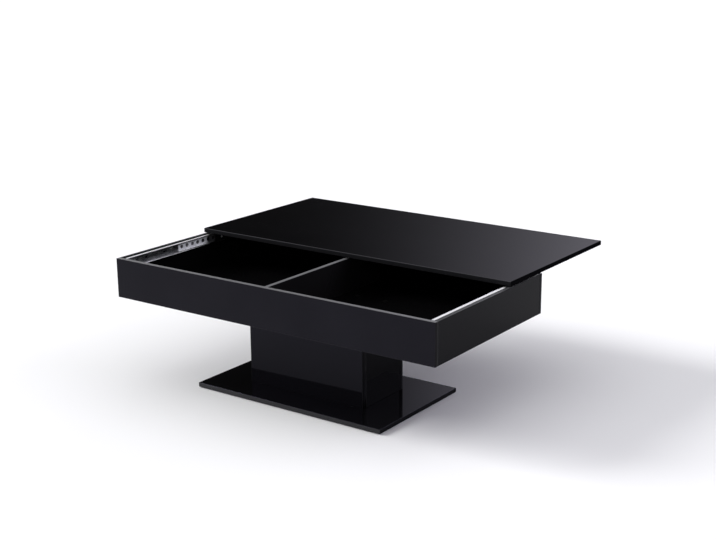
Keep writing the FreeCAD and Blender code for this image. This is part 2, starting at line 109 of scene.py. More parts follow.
class BoardSettings(bpy.types.PropertyGroup):
    """The gloss boards and their edges."""

    lacquer: colour("Laminate", "the gloss laminate", (0.0034, 0.0033, 0.0037))
    # The divider's and the front's laminate colours are lighter copies of the laminate: painted light on the
    # divider, painted reflection on the front.
    divider_lacquer_painted_light: colour("Divider laminate", "the divider's laminate", (0.0095, 0.0092, 0.01))
    front_lacquer_painted_reflection: colour("Front laminate", "the box front's laminate", (0.0085, 0.0082, 0.0102))
    sheen_tint: colour("Reflection tint", "the laminate's reflections", (0.75, 0.72, 1.0))
    roughness: share("Roughness", "Roughness of a clean patch of laminate", 0.035)
    reflection: share("Reflection", "Specular level of the laminate", 0.14)
    front_reflection: share("Front reflection", "Specular level of the box's front", 0.085)
    base_reflection: share("Base reflection", "Specular level of the base plate", 0.5)
    end_reflection: share("End reflection", "Specular level at the ends of box and column", 0.04)
    peel: length("Peel depth", "Depth of the faint waves in the gloss", 0.012 * MM)
    joint_inset: length("Joint inset", "Joint line of the banding, in from the edges", 1.0 * MM)
    joint_width: length("Joint width", "Width of the joint line", 0.16 * MM)
    # One satin band in three tones by side: the end rims' darker tones are painted shade.
    band: colour("Rim band", "the satin bands on the rims", (0.118, 0.118, 0.122))
    end_band: colour("Right rim band", "the band on the right end's rim", (0.045, 0.045, 0.047))
    left_rim_painted_shade: colour("Left rim band", "the band on the left end's rim", (0.014, 0.014, 0.015))
    # The base plate's end bands are a darker copy of its front and back bands: painted shade.
    base_band: colour("Base band", "the base plate's front and back bands", (0.033, 0.033, 0.035))
    base_end_painted_shade: colour("Base end band", "the base plate's end bands", (0.006, 0.006, 0.007))
    top_band: colour("Top band", "the top's edge band", (0.0105, 0.0105, 0.0115))
    # Painted shade on the top's band at the ends.
    top_end_band_painted_shade: colour("Top end band", "the top's edge band at the ends", (0.003, 0.003, 0.0035))
    # Painted highlight along the upper arris of the top's front and back band.
    arris: colour("Top arris", "the scraped upper arris of the top's band", (0.075, 0.075, 0.08))
    arris_height: length("Arris height", "Height of the scraped arris", 1.3 * MM)
    band_roughness: share("Band roughness", "Roughness of the satin bands", 0.38)
    band_thickness: length("Band thickness", "Satin band proud of its board", 0.2 * MM)
    band_setback: length("Band setback", "Satin band in from the board's faces", 0.6 * MM)
    slide_setback: length("Slide setback", "End rim band further in from the slides", 2.0 * MM)
    end_band_thickness: length("Gloss band", "Thickness of the gloss bands on the ends", 1.0 * MM)
    band_ease: length("Band ease", "Rounding of the gloss bands", 0.3 * MM)
    edge_ease: length("Edge ease", "Rounding of the top's edges", 0.8 * MM)


class SlideSettings(bpy.types.PropertyGroup):
    """The ball slides."""

    zinc: colour("Zinc", "the zinc plating", (0.58, 0.59, 0.6))
    zinc_roughness: share("Zinc roughness", "Roughness of the plating", 0.27)
    # Near-white, almost unmetallic tone of the upper flanges: rubbed plating and a painted highlight.
    rubbed: colour("Rubbed zinc", "the plating where it is rubbed bright", (0.8, 0.8, 0.81))
    rubbed_roughness: share("Rubbed roughness", "Roughness of the rubbed plating", 0.5)
    lower_flange: colour("Lower flange", "the rails' lower flanges", (0.14, 0.14, 0.145))
    # Painted shadow on the left rail's upper flange beside the wall.
    flange_root_painted_shadow: colour("Flange root", "the left upper flange beside the wall", (0.03, 0.03, 0.03))
    root_depth: length("Root depth", "Width of the dark part beside the wall", 4.5 * MM)
    lip: colour("Lip", "the burnished lips of the rails", (0.96, 0.96, 0.97))
    lip_roughness: share("Lip roughness", "Roughness of the burnished lips", 0.26)
    lip_radius: length("Lip radius", "Radius of the rolled lips", 1.0 * MM)
    # Darkens the slides where they stay under the open top: partly old grease, partly painted shade of the
    # top.
    grease: colour("Grease", "the old grease under the open top", (0.012, 0.012, 0.011))
    grease_and_shade_start: length("Grease start", "Where the grease begins along Y", 0.082)
    rail_sheet: length("Rail sheet", "Thickness of the rail's sheet", 1.2 * MM)
    cage_sheet: length("Cage sheet", "Thickness of the cage's sheet", 0.6 * MM)
    ball_steps: IntProperty(name="Ball steps", description="Subdivisions of a ball", default=3,
                            min=1, max=5)
    hole_end: length("First hole", "First cage hole, in from the cage's end", 13.25 * MM)
    hole_pitch: length("Hole pitch", "Middle to middle of the cage holes", 21.5 * MM)
    hole_radius: length("Hole radius", "Radius of the cage holes", 4.0 * MM)
    collar_radius: length("Collar radius", "Radius of each hole's round collar", 0.55 * MM)
    rivet_radius: length("Rivet radius", "Radius of the rivet heads", 3.6 * MM)
    rivet_height: length("Rivet height", "Height of the rivet heads", 0.55 * MM)
    rivet_places: FloatVectorProperty(name="Rivet places", description="The rivets along Y",
                                      default=(-0.058, 0.064), size=2, unit="LENGTH")


class FastenerSettings(bpy.types.PropertyGroup):
    """Screws, nuts, caps and dowels."""

    fine_pitch: length("Fine pitch", "Thread pitch of the machine screws", 0.7 * MM)
    coarse_pitch: length("Coarse pitch", "Thread pitch of the wood screws", 1.4 * MM)
    panel_pitch: length("Panel pitch", "Thread pitch of the panel screws", 2.6 * MM)
    thread_share: share("Thread depth", "Depth of a thread as a share of its pitch", 0.3)
    machine_shank: length("Machine shank", "Radius of the machine screws", 2.0 * MM)
    wood_shank: length("Wood shank", "Radius of the wood screws", 1.75 * MM)
    panel_shank: length("Panel shank", "Radius of the panel screws", 2.5 * MM)
    recess_width: length("Recess width", "Width of the arms of a cross recess", 0.8 * MM)
    recess_depth: length("Recess depth", "Depth of a cross recess", 1.0 * MM)
    socket_flats: length("Socket flats", "Hexagon socket across its flats", 3.6 * MM)
    socket_depth: length("Socket depth", "Depth of the hexagon socket", 2.4 * MM)
    flutes: IntProperty(name="Flutes", description="Flutes of a dowel", default=14, min=6, max=24)
    flute_depth: length("Flute depth", "Depth of a dowel's flutes", 0.22 * MM)
    peg_radius: length("Peg radius", "Radius of the peg below a cap", 1.4 * MM)
    cover_radius: length("Cover radius", "Radius of the covers over the corner cams", 9.0 * MM)
    cover_thickness: length("Cover thickness", "Thickness of those covers", 0.9 * MM)


class StageSettings(bpy.types.PropertyGroup):
    """Floor, light and camera."""

    floor_size: length("Floor size", "Side of the square floor", 90.0)
    floor: colour("Floor", "the floor", (0.95, 0.95, 0.95))
    dome: share("Dome", "Strength of the light from overhead", 0.98, 4)
    haze: share("Haze", "Strength of the dim part of the surroundings", 0.008, 4)
    window: share("Window", "Strength of the soft windows low in the surroundings", 1.19, 4)
    window_tint: colour("Window tint", "the windows", (0.9, 0.875, 1.0))
    sun: share("Key", "Strength of the soft key light", 2.5, 20)
    sun_size: angle("Key size", "Angle that the key light fills", 26)
    sun_turn: angle("Key turn", "Key light to the left of the back", 114)
    sun_height: angle("Key height", "Key light above the floor", 31)
    eye: FloatVectorProperty(name="Camera", description="Place of the camera", size=3,
                             default=(1.9710, -2.5552, 1.2122), subtype="TRANSLATION", unit="LENGTH")
    turn: angle("Camera turn", "Camera turned to the left of the back", 34.145)
    dip: angle("Camera dip", "Camera tipped below the horizon", 15.630)
    focal_mm: FloatProperty(name="Focal length", description="Focal length in millimetres",
                            default=64.918, min=1, unit="CAMERA")
    shift_x: FloatProperty(name="Shift across", description="Lens shift across", default=-0.06)
    shift_y: FloatProperty(name="Shift up", description="Lens shift up", default=0.01)


class TableSettings(bpy.types.PropertyGroup):
    """All settings of the table."""

    boards: PointerProperty(type=BoardSettings)
    slides: PointerProperty(type=SlideSettings)
    fasteners: PointerProperty(type=FastenerSettings)
    stage: PointerProperty(type=StageSettings)


# ---- node trees --------------------------------------------------------------
def put(tree, kind, sockets=None, **settings):
    """Add a node; each socket takes a value or another node's output."""
    node = tree.nodes.new(kind)
    for name, value in settings.items():
        setattr(node, name, value)
    for socket, value in (sockets or {}).items():
        if isinstance(value, bpy.types.NodeSocket):
            tree.links.new(value, node.inputs[socket])
        else:
            node.inputs[socket].default_value = value
    return node


def maths(tree, operation, *values):
    """The result of a math node."""
    return put(tree, "ShaderNodeMath", dict(enumerate(values)), operation=operation).outputs[0]


def ramp(tree, value, low, high, to_low, to_high, kind="LINEAR"):
    """A value from low to high, carried over to to_low to to_high."""
    sockets = {"Value": value, "From Min": low, "From Max": high, "To Min": to_low, "To Max": to_high}
    return put(tree, "ShaderNodeMapRange", sockets, interpolation_type=kind).outputs["Result"]


def mixed(tree, amount, first, second):
    """A colour between two colours."""
    node = put(tree, "ShaderNodeMix", {"Factor": amount}, data_type="RGBA")
    for label, value in (("A", first), ("B", second)):
        target = [entry for entry in node.inputs if entry.name == label and entry.type == "RGBA"][0]
        if isinstance(value, bpy.types.NodeSocket):
            tree.links.new(value, target)
        else:
            target.default_value = (*value, 1)
    return [entry for entry in node.outputs if entry.type == "RGBA"][0]


def times(tone, factor):
    """A tone made darker or lighter."""
    return [channel * factor for channel in tone]


class Finish:
    """A material under construction: one principled shader and its patterns."""

    def __init__(self, name, **uniform):
        self.material = bpy.data.materials.new(name)
        self.material.use_nodes = True
        self.tree = self.material.node_tree
        self.tree.nodes.clear()
        self.shader = put(self.tree, "ShaderNodeBsdfPrincipled")
        put(self.tree, "ShaderNodeOutputMaterial", {"Surface": self.shader.outputs[0]})
        self.place = put(self.tree, "ShaderNodeTexCoord").outputs["Object"]
        self.height = None
        for socket_name, value in uniform.items():
            socket = self.shader.inputs[socket_name.replace("_", " ")]
            socket.default_value = (*value, 1) if socket.type == "RGBA" else value

    def drive(self, name, value):
        """Let a pattern drive one of the shader's sockets."""
        self.tree.links.new(value, self.shader.inputs[name])

    def paint(self, tone):
        """Give the surface its colour."""
        self.tone = tone
        self.drive("Base Color", tone)

    def mottle(self, grain, first, second):
        """Paint the surface with two tones that change over with a grain."""
        self.paint(mixed(self.tree, grain, first, second))

    def roughen(self, grain, low, high, start=0.3, stop=0.7):
        """Let a grain carry the roughness from low to high."""
        self.drive("Roughness", ramp(self.tree, grain, start, stop, low, high))

    def axes(self):
        return put(self.tree, "ShaderNodeSeparateXYZ", {"Vector": self.place}).outputs

    def pattern(self, kind, per_metre, stretch, **sockets):
        scale = [per_metre / factor for factor in stretch]
        spot = put(self.tree, "ShaderNodeMapping", {"Vector": self.place, "Scale": scale})
        return put(self.tree, kind, {"Vector": spot.outputs[0], "Scale": 1.0, **sockets}).outputs

    def noise(self, per_metre, detail=3.0, stretch=(1, 1, 1), roughness=0.5):
        """Cloudy values from 0 to 1; stretch above 1 draws them out along an axis."""
        sockets = {"Detail": detail, "Roughness": roughness}
        return self.pattern("ShaderNodeTexNoise", per_metre, stretch, **sockets)["Fac"]

    def cells(self, per_metre, stretch=(1, 1, 1)):
        """Distance to the nearest of many scattered points."""
        return self.pattern("ShaderNodeTexVoronoi", per_metre, stretch)["Distance"]

    def bump(self, height, distance, strength=1.0):
        """Stack one more relief on the surface, and give the material."""
        sockets = {"Height": height, "Distance": distance, "Strength": strength}
        if self.height is not None:
            sockets["Normal"] = self.height
        self.height = put(self.tree, "ShaderNodeBump", sockets).outputs[0]
        self.drive("Normal", self.height)
        return self.material


# ---- finishes ----------------------------------------------------------------
BARE_EDGE = (0.03, 0.03, 0.033)
JOINT_TONE = (0.0008, 0.0008, 0.001)
DULL_SPECK = (0.2, 0.2, 0.19)
WEAR_START = 0.3 * MM
WEAR_END = 1.4 * MM
# Fade and share of the darkening under the open top: old grease and painted shade.
GREASE_AND_SHADE_FADE = 8 * MM
GREASE_AND_SHADE_SHARE = 0.92
FLANGE_START = 1.6 * MM
FLANGE_END = 1.1 * MM
ROLLED = (2200, 2)


def middle_and_half(node):
    """The middle and the half size of a CAD node's box."""
    low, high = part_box(node)
    return (low + high) / 2, (high - low) / 2


def board_edges(finish, node, boards):
    """Masks of a board's joint line and worn edges, from its own corners."""
    middle, half = middle_and_half(node)
    thin = min(range(3), key=lambda axis: half[axis])
    tree = finish.tree
    depths = []
    for axis, along in enumerate(finish.axes()):
        offset = maths(tree, "ABSOLUTE", maths(tree, "SUBTRACT", along, middle[axis]))
        depths.append(maths(tree, "SUBTRACT", half[axis], offset))
    below_face = depths.pop(thin)
    inset = maths(tree, "MINIMUM", *depths)
    off_line = maths(tree, "ABSOLUTE", maths(tree, "SUBTRACT", inset, boards.joint_inset))
    line = ramp(tree, off_line, boards.joint_width / 2, boards.joint_width, 1, 0)
    corner = maths(tree, "MAXIMUM", inset, below_face)
    return line, ramp(tree, corner, WEAR_START, WEAR_END, 1, 0, "SMOOTHSTEP")


def gloss_laminate(node, boards, at_end=False):
    """Deep black gloss with faint waves, rubbed patches and hairline scratches."""
    lacquer, level = boards.lacquer, boards.reflection
    if at_end or node in END_PANELS:
        level = boards.end_reflection
    # The front and the divider get lighter laminate colours: painted reflection and painted light.
    elif node == "box_front":
        lacquer, level = boards.front_lacquer_painted_reflection, boards.front_reflection
    elif node == "base_plate":
        level = boards.base_reflection
    elif node == "box_divider":
        lacquer = boards.divider_lacquer_painted_light
    finish = Finish("gloss_laminate_" + node + ("_ends" if at_end else ""), Specular_IOR_Level=level,
                    Specular_Tint=boards.sheen_tint)
    tree = finish.tree
    line, worn = board_edges(finish, node, boards)
    cloud = ramp(tree, finish.noise(7), 0.3, 0.7, 0, 1)
    tone = mixed(tree, cloud, times(lacquer, 0.8), lacquer)
    tone = mixed(tree, maths(tree, "MULTIPLY", worn, 0.45), tone, BARE_EDGE)
    finish.mottle(maths(tree, "MULTIPLY", line, 0.6), tone, JOINT_TONE)
    rubbed = ramp(tree, finish.noise(16, 4), 0.45, 0.75, 0, 0.03)
    hair = ramp(tree, finish.noise(900, 1, (26, 1, 26)), 0.66, 0.8, 0, 0.035)
    dust = ramp(tree, finish.cells(420), 0.0, 0.06, 0.06, 0)
    rough = maths(tree, "ADD", maths(tree, "ADD", rubbed, hair), maths(tree, "ADD", dust, boards.roughness))
    finish.drive("Roughness", maths(tree, "ADD", rough, maths(tree, "MULTIPLY", worn, 0.12)))
    finish.bump(finish.noise(260, 1), boards.peel, 0.35)
    return finish.bump(line, 0.05 * MM, -0.8)


def satin_band(name, tone, reflection, boards):
    """Satin plastic banding with a fine pebble and cloudy tone."""
    finish = Finish(name, Specular_IOR_Level=reflection)
    finish.mottle(finish.noise(60, 4), tone, times(tone, 1.35))
    finish.roughen(finish.noise(220), boards.band_roughness - 0.05, boards.band_roughness + 0.07)
    finish.bump(finish.cells(2600), 0.02 * MM, 0.5)
    return finish


def top_band(boards, low, high):
    """The top's banding: a painted highlight along the upper arris at the front and back, and painted shade
    at the ends.
    """
    finish = satin_band("dark_edge_band", boards.top_band, 0.0, boards)
    tree = finish.tree
    x, _, z = finish.axes()
    foot = high.z - boards.arris_height
    # Painted highlight along the upper arris, streaked by noise.
    worn = ramp(tree, finish.noise(35, 3, (4, 1, 1)), 0.3, 0.7, 0.7, 1)
    crest = maths(tree, "MULTIPLY", worn, ramp(tree, z, foot, foot + 0.4 * MM, 0, 1))
    tone = mixed(tree, crest, finish.tone, boards.arris)
    # Painted shade: the band goes darker at the two ends.
    end_face = high.x - boards.edge_ease
    at_end = ramp(tree, maths(tree, "ABSOLUTE", x), end_face - 0.7 * MM, end_face, 0, 1)
    finish.mottle(at_end, tone, boards.top_end_band_painted_shade)
    return finish.material


def greased_and_shaded(finish, slides, tone):
    """A slide's tone darkened on the part that stays under the open top: old grease and painted shade of the
    top.
    """
    start = slides.grease_and_shade_start
    amount = ramp(finish.tree, finish.axes()["Y"], start, start + GREASE_AND_SHADE_FADE, 0, GREASE_AND_SHADE_SHARE)
    return mixed(finish.tree, amount, tone, slides.grease)


def specked(finish, tone):
    """A tone with scattered dull specks."""
    speck = ramp(finish.tree, finish.cells(700), 0, 0.09, 0.5, 0)
    return mixed(finish.tree, speck, tone, DULL_SPECK)


def rubbed_patches(finish, tone, worn):
    """A bright tone with patches, drawn out along Y, that are worn duller."""
    patches = ramp(finish.tree, finish.noise(70, 4, (1, 6, 1)), 0.5, 0.85, 0, 1)
    return mixed(finish.tree, patches, tone, times(tone, worn))


def plated_steel(name, slides, lift=1.0, along=(1, 40, 1), metal=1.0, rougher=0.0):
    """Zinc-plated sheet with rolling marks, dull patches and specks."""
    finish = Finish(name, Metallic=metal)
    tree = finish.tree
    bright = [min(channel * lift, 1) for channel in slides.zinc]
    tone = mixed(tree, ramp(tree, finish.noise(45, 4), 0.35, 0.7, 0, 1), bright, times(bright, 0.8))
    # Darker under the open top: old grease and painted shade.
    finish.paint(greased_and_shaded(finish, slides, specked(finish, tone)))
    streak = finish.noise(*ROLLED, along)
    base = slides.zinc_roughness + rougher
    finish.roughen(streak, base - 0.07, base + 0.1)
    return finish.bump(streak, 0.01 * MM, 0.5)


def lip_steel(slides):
    """Burnished steel of the rolled lips, bright along the run of the balls."""
    finish = Finish("burnished_lip_steel", Metallic=1.0)
    # Darker under the open top: old grease and painted shade.
    finish.paint(greased_and_shaded(finish, slides, rubbed_patches(finish, slides.lip, 0.8)))
    streak = finish.noise(*ROLLED, (1, 40, 1))
    finish.roughen(streak, slides.lip_roughness - 0.05, slides.lip_roughness + 0.08)
    return finish.bump(streak, 0.006 * MM, 0.4)


def rail_steel(slides):
    """Dull plated web between flanges that are rubbed bright and carry a painted highlight."""
    finish = Finish("plated_rail_web_and_flanges")
    tree = finish.tree
    middle, half = middle_and_half("left_slide_rail")
    x, _, z = finish.axes()
    off = maths(tree, "ABSOLUTE", maths(tree, "SUBTRACT", z, middle.z))
    flange = ramp(tree, off, half.z - FLANGE_START, half.z - FLANGE_END, 0, 1)
    upper = ramp(tree, z, middle.z - 1 * MM, middle.z + 1 * MM, 0, 1)
    # Painted shadow: the left rail's upper flange turns dark for a strip beside the wall.
    root_end = middle.x - half.x + slides.root_depth
    root = ramp(tree, x, root_end, root_end + 0.5 * MM, 1, 0)
    cloud = ramp(tree, finish.noise(45, 4), 0.35, 0.75, 0, 1)
    web = mixed(tree, cloud, slides.zinc, times(slides.zinc, 0.55))
    # The upper flanges take the near-white rubbed tone, which is also a painted highlight.
    rubbed = mixed(tree, root, rubbed_patches(finish, slides.rubbed, 0.78), slides.flange_root_painted_shadow)
    tone = mixed(tree, flange, web, mixed(tree, upper, slides.lower_flange, rubbed))
    # Darker under the open top: old grease and painted shade.
    finish.paint(greased_and_shaded(finish, slides, specked(finish, tone)))
    finish.drive("Metallic", ramp(tree, flange, 0, 1, 1.0, 0.1))
    streak = finish.noise(*ROLLED, (1, 40, 1))
    level = ramp(tree, flange, 0, 1, slides.zinc_roughness, slides.rubbed_roughness)
    finish.drive("Roughness", maths(tree, "ADD", level, ramp(tree, streak, 0.3, 0.7, -0.07, 0.1)))
    return finish.bump(streak, 0.01 * MM, 0.5)


def cast_zinc():
    """Tumbled die-cast zinc with a faint grain."""
    finish = Finish("tumbled_cast_zinc", Metallic=1.0)
    finish.mottle(finish.noise(380, 5), (0.5, 0.5, 0.51), (0.66, 0.66, 0.67))
    finish.roughen(finish.noise(900), 0.36, 0.56)
    return finish.bump(finish.noise(1500, 4), 0.03 * MM, 0.6)


def screw_steel():
    """Bright plated screws with a fine grain."""
    finish = Finish("bright_screw_steel", Metallic=1.0)
    finish.mottle(finish.noise(500, 4), (0.56, 0.56, 0.55), (0.72, 0.72, 0.72))
    finish.roughen(finish.noise(1400), 0.2, 0.36)
    return finish.bump(finish.noise(3200, 2), 0.006 * MM, 0.5)


def polished_balls():
    """Hardened balls with a thin film of grease."""
    finish = Finish("polished_ball_steel", Metallic=1.0)
    finish.mottle(finish.noise(420, 3), (0.74, 0.74, 0.75), (0.84, 0.84, 0.84))
    finish.roughen(finish.noise(650, 4), 0.05, 0.2, 0.4, 0.75)
    return finish.bump(finish.noise(2400), 0.003 * MM, 0.4)


def powder_coat():
    """Black powder coat with its fine pebble."""
    finish = Finish("black_powder_coat", Specular_IOR_Level=0.12)
    finish.mottle(finish.noise(90), (0.005, 0.005, 0.0055), (0.009, 0.009, 0.0095))
    finish.roughen(finish.noise(700), 0.42, 0.56)
    return finish.bump(finish.cells(1900), 0.05 * MM, 0.6)


def moulded_black(name, rough, pebble, tone, level):
    """Black moulded plastic or rubber with a spark-eroded grain."""
    finish = Finish(name, Specular_IOR_Level=level)
    finish.mottle(finish.noise(160, 3), [tone] * 3, [2 * tone] * 3)
    finish.roughen(finish.noise(800), rough - 0.05, rough + 0.08)
    return finish.bump(finish.cells(pebble), 0.03 * MM, 0.6)


def beech():
    """Bare turned beech with short dark flecks along the grain."""
    finish = Finish("turned_beech")
    tree = finish.tree
    grain = ramp(tree, finish.noise(900, 5, (1, 1, 9)), 0.3, 0.7, 0, 1)
    fleck = ramp(tree, finish.cells(800, (1, 1, 5)), 0, 0.14, 0.7, 0)
    finish.mottle(fleck, mixed(tree, grain, (0.5, 0.33, 0.18), (0.66, 0.47, 0.29)), (0.3, 0.17, 0.09))
    finish.roughen(grain, 0.62, 0.78, 0, 1)
    return finish.bump(grain, 0.04 * MM, 0.6)


def pressed_felt():
    """Dark pressed felt with matted fibres."""
    finish = Finish("pressed_felt", Specular_IOR_Level=0.1, Sheen_Weight=0.35, Sheen_Roughness=0.6)
    fibres = finish.noise(1400, 6, (3, 1, 1), 0.7)
    finish.mottle(ramp(finish.tree, fibres, 0.35, 0.65, 0, 1), (0.025, 0.025, 0.028), (0.09, 0.09, 0.095))
    finish.roughen(fibres, 0.85, 1.0)
    return finish.bump(fibres, 0.2 * MM, 0.8)


MAKERS = {
    "rail_zinc": lambda slides: plated_steel("plated_rail_steel", slides),
    "cage_zinc": lambda slides: plated_steel("plated_cage_steel", slides, 1.62, (1, 12, 1), 0.15, 0.22),
    "cam_zinc": lambda slides: cast_zinc(),
    "screw_steel": lambda slides: screw_steel(),
    "ball_steel": lambda slides: polished_balls(),
    "hanger_black": lambda slides: powder_coat(),
    "cap_plastic": lambda slides: moulded_black("moulded_cap_plastic", 0.55, 1500, 0.0018, 0.05),
    "bumper_rubber": lambda slides: moulded_black("moulded_bumper_rubber", 0.7, 900, 0.008, 0.35),
    "beech": lambda slides: beech(),
    "pad_felt": lambda slides: pressed_felt(),
}
FINISHES = {}


def finish_for(slot):
    """The one finish of a material slot; the boards have their own."""
    if slot not in FINISHES:
        FINISHES[slot] = MAKERS[slot](bpy.context.scene.sliding_table.slides)
    return FINISHES[slot]


def dress(node, material):
    """Give a CAD node's own mesh its finish."""
    NODES[node].material_slots[0].material = material


# ---- meshes ------------------------------------------------------------------
def new_object(name, mesh):
    thing = bpy.data.objects.new(name, mesh)
    bpy.context.scene.collection.objects.link(thing)
    return thing


def discard(*things):
    """Remove masters and cutters that have done their work."""
    for thing in things:
        bpy.data.objects.remove(thing)


def from_bmesh(name, shape, material=None, smooth_angle=SHARP):
    """A mesh object with smooth faces and sharp corners."""
    bmesh.ops.recalc_face_normals(shape, faces=shape.faces)
    mesh = bpy.data.meshes.new(name)
    shape.to_mesh(mesh)
    shape.free()
    mesh.shade_smooth()
    mesh.set_sharp_from_angle(angle=smooth_angle)
    if material:
        mesh.materials.append(material)
    return new_object(name, mesh)


def merged_copy(node):
    """A CAD node's mesh with its loose triangles joined."""
    shape = bmesh.new()
    shape.from_mesh(NODES[node].data)
    bmesh.ops.remove_doubles(shape, verts=shape.verts, dist=SAME_SPOT)
    return shape


def lathe(profile, steps, wobble=None):
    """Turn (radius, height) points round Z; points on the axis become poles.

    wobble(angle, radius, height) gives another radius where the shape isn't round.
    """
    shape = bmesh.new()
    rings = []
    for radius, height in profile:
        ring = []
        for step in range(1 if radius < 1e-7 else steps):
            turn = math.tau * step / steps
            reach = wobble(turn, radius, height) if wobble and radius else radius
            ring.append(shape.verts.new((reach * math.cos(turn), reach * math.sin(turn), height)))
        rings.append(ring)
    pairs = list(zip(rings, rings[1:]))
    if len(rings[0]) > 1 and len(rings[-1]) > 1:
        pairs.append((rings[-1], rings[0]))
    for lower, upper in pairs:
        for step in range(steps):
            following = (step + 1) % steps
            corners = [lower[step % len(lower)], lower[following % len(lower)],
                       upper[following % len(upper)], upper[step % len(upper)]]
            distinct = list(dict.fromkeys(corners))
            if len(distinct) > 2:
                shape.faces.new(distinct)
    return shape


def arc(centre_radius, centre_height, radius, start, stop, steps):
    """Points of a round stretch of a profile; angles are in degrees from outward."""
    points = []
    for step in range(steps + 1):
        turn = math.radians(start + (stop - start) * step / steps)
        points.append((centre_radius + radius * math.cos(turn), centre_height + radius * math.sin(turn)))
    return points


def round_bar(name, start, long, radius, material):
    """A bar along Y with domed ends, from the middle of its first dome."""
    points = [(reach if reach > 1e-7 else 0, height)
              for reach, height in arc(0, 0, radius, -90, 0, 4) + arc(0, long, radius, 0, 90, 4)]
    bar = from_bmesh(name, lathe(points, 14), material, math.radians(60))
    bar.data.transform(Matrix.Translation(start) @ ALONG_Y.to_matrix().to_4x4())
    return bar


def rounded_loop(middle, half_x, half_y, radius, height, steps=5):
    """Points of a level rectangle with rounded corners."""
    points = []
    for turn, (side_x, side_y) in enumerate(((1, 1), (-1, 1), (-1, -1), (1, -1))):
        for step in range(steps + 1):
            bend = QUARTER * (turn + step / steps)
            points.append((middle.x + side_x * (half_x - radius) + radius * math.cos(bend),
                           middle.y + side_y * (half_y - radius) + radius * math.sin(bend), height))
    return points


def loft(name, loops, material=None, ring=False):
    """A closed shell over loops of points; ring joins the last loop to the first."""
    shape = bmesh.new()
    rows = [[shape.verts.new(point) for point in loop] for loop in loops]
    pairs = list(zip(rows, rows[1:]))
    if ring:
        pairs.append((rows[-1], rows[0]))
    else:
        shape.faces.new(rows[0])
        shape.faces.new(rows[-1])
    count = len(rows[0])
    for lower, upper in pairs:
        for index in range(count):
            following = (index + 1) % count
            shape.faces.new([lower[index], lower[following], upper[following], upper[index]])
    return from_bmesh(name, shape, material)


def strip(name, low, high, ease, material):
    """A flat bar with eased edges between two corners."""
    shape = bmesh.new()
    bmesh.ops.create_cube(shape, size=1)
    size = high - low
    for vertex in shape.verts:
        vertex.co = Vector([low[axis] + (vertex.co[axis] + 0.5) * size[axis] for axis in range(3)])
    bmesh.ops.bevel(shape, geom=shape.edges[:], offset=ease, segments=3, affect="EDGES", profile=0.5)
    return from_bmesh(name, shape, material)


def merge(name, things):
    """Join finished pieces of one body into one object."""
    shape = bmesh.new()
    for thing in things:
        shape.from_mesh(thing.data)
    mesh = bpy.data.meshes.new(name)
    shape.to_mesh(mesh)
    shape.free()
    mesh.shade_smooth()
    mesh.materials.append(things[0].data.materials[0])
    discard(*things)
    return new_object(name, mesh)


def settle(thing, body, slot, *replaced):
    """Say what a finished piece rides on and what it stands for; its slot is not used."""
    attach(thing, body)
    if replaced:
        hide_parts(*replaced)


def solids_of(node):
    """The (lowest, highest) corners of each separate solid of a CAD node."""
    shape = merged_copy(node)
    seen = set()
    boxes = []
    for start in shape.verts:
        if start in seen:
            continue
        seen.add(start)
        group = [start]
        for vertex in group:
            for edge in vertex.link_edges:
                other = edge.other_vert(vertex)
                if other not in seen:
                    seen.add(other)
                    group.append(other)
        boxes.append([Vector([pick(vertex.co[axis] for vertex in group) for axis in range(3)])
                      for pick in (min, max)])
    shape.free()
    return sorted(boxes, key=lambda box: tuple(round(value, 5) for value in box[0]))


def middles(boxes):
    return [(low + high) / 2 for low, high in boxes]


def body_of(node):
    return NODES[node]["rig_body"]


def face_x(box, way):
    """X of the face of a box that looks along (1) or against (-1) the X axis."""
    return box[1].x if way > 0 else box[0].x


# ---- geometry node trees -----------------------------------------------------
def new_tree(name, **inputs):
    """A geometry node tree, the outputs of its named inputs, and their identifiers."""
    tree = bpy.data.node_groups.new(name, "GeometryNodeTree")
    tree.interface.new_socket("Geometry", in_out="OUTPUT", socket_type="NodeSocketGeometry")
    for label, kind in inputs.items():
        tree.interface.new_socket(label.replace("_", " "), in_out="INPUT", socket_type="NodeSocket" + kind)
    known = {item.name: item.identifier for item in tree.interface.items_tree if item.in_out == "INPUT"}
    return tree, put(tree, "NodeGroupInput").outputs, known


def copied(tree, points, master, turn=None):
    """A copy of the master on every point of a tree's points."""
    sockets = {"Points": points, "Instance": master}
    if turn:
        sockets["Rotation"] = turn
    return put(tree, "GeometryNodeInstanceOnPoints", sockets).outputs[0]


def smoothed(tree, geometry):
    return put(tree, "GeometryNodeSetShadeSmooth", {"Geometry": geometry}).outputs[0]


def row(tree, count, first, pitch):
    """Points along Y."""
    step = put(tree, "ShaderNodeCombineXYZ", {"Y": pitch}).outputs[0]
    return put(tree, "GeometryNodeMeshLine",
               {"Count": count, "Start Location": first, "Offset": step}).outputs[0]


def close_tree(tree, geometry, material):
    """End a tree in real meshes with their material."""
    real = put(tree, "GeometryNodeRealizeInstances", {"Geometry": geometry})
    painted = put(tree, "GeometryNodeSetMaterial", {"Geometry": real.outputs[0], "Material": material})
    put(tree, "NodeGroupOutput", {"Geometry": painted.outputs[0]})


def fastener_tree():
    """Puts a master fastener on every point, turned the same way."""
    tree, given, known = new_tree("fasteners_on_points", Points="Geometry", Fastener="Object",
                                  Turn="Vector", Finish="Material")
    master = put(tree, "GeometryNodeObjectInfo", {"Object": given["Fastener"]}).outputs["Geometry"]
    turn = put(tree, "FunctionNodeEulerToRotation", {"Euler": given["Turn"]}).outputs[0]
    close_tree(tree, copied(tree, given["Points"], master, turn), given["Finish"])
    return tree, known


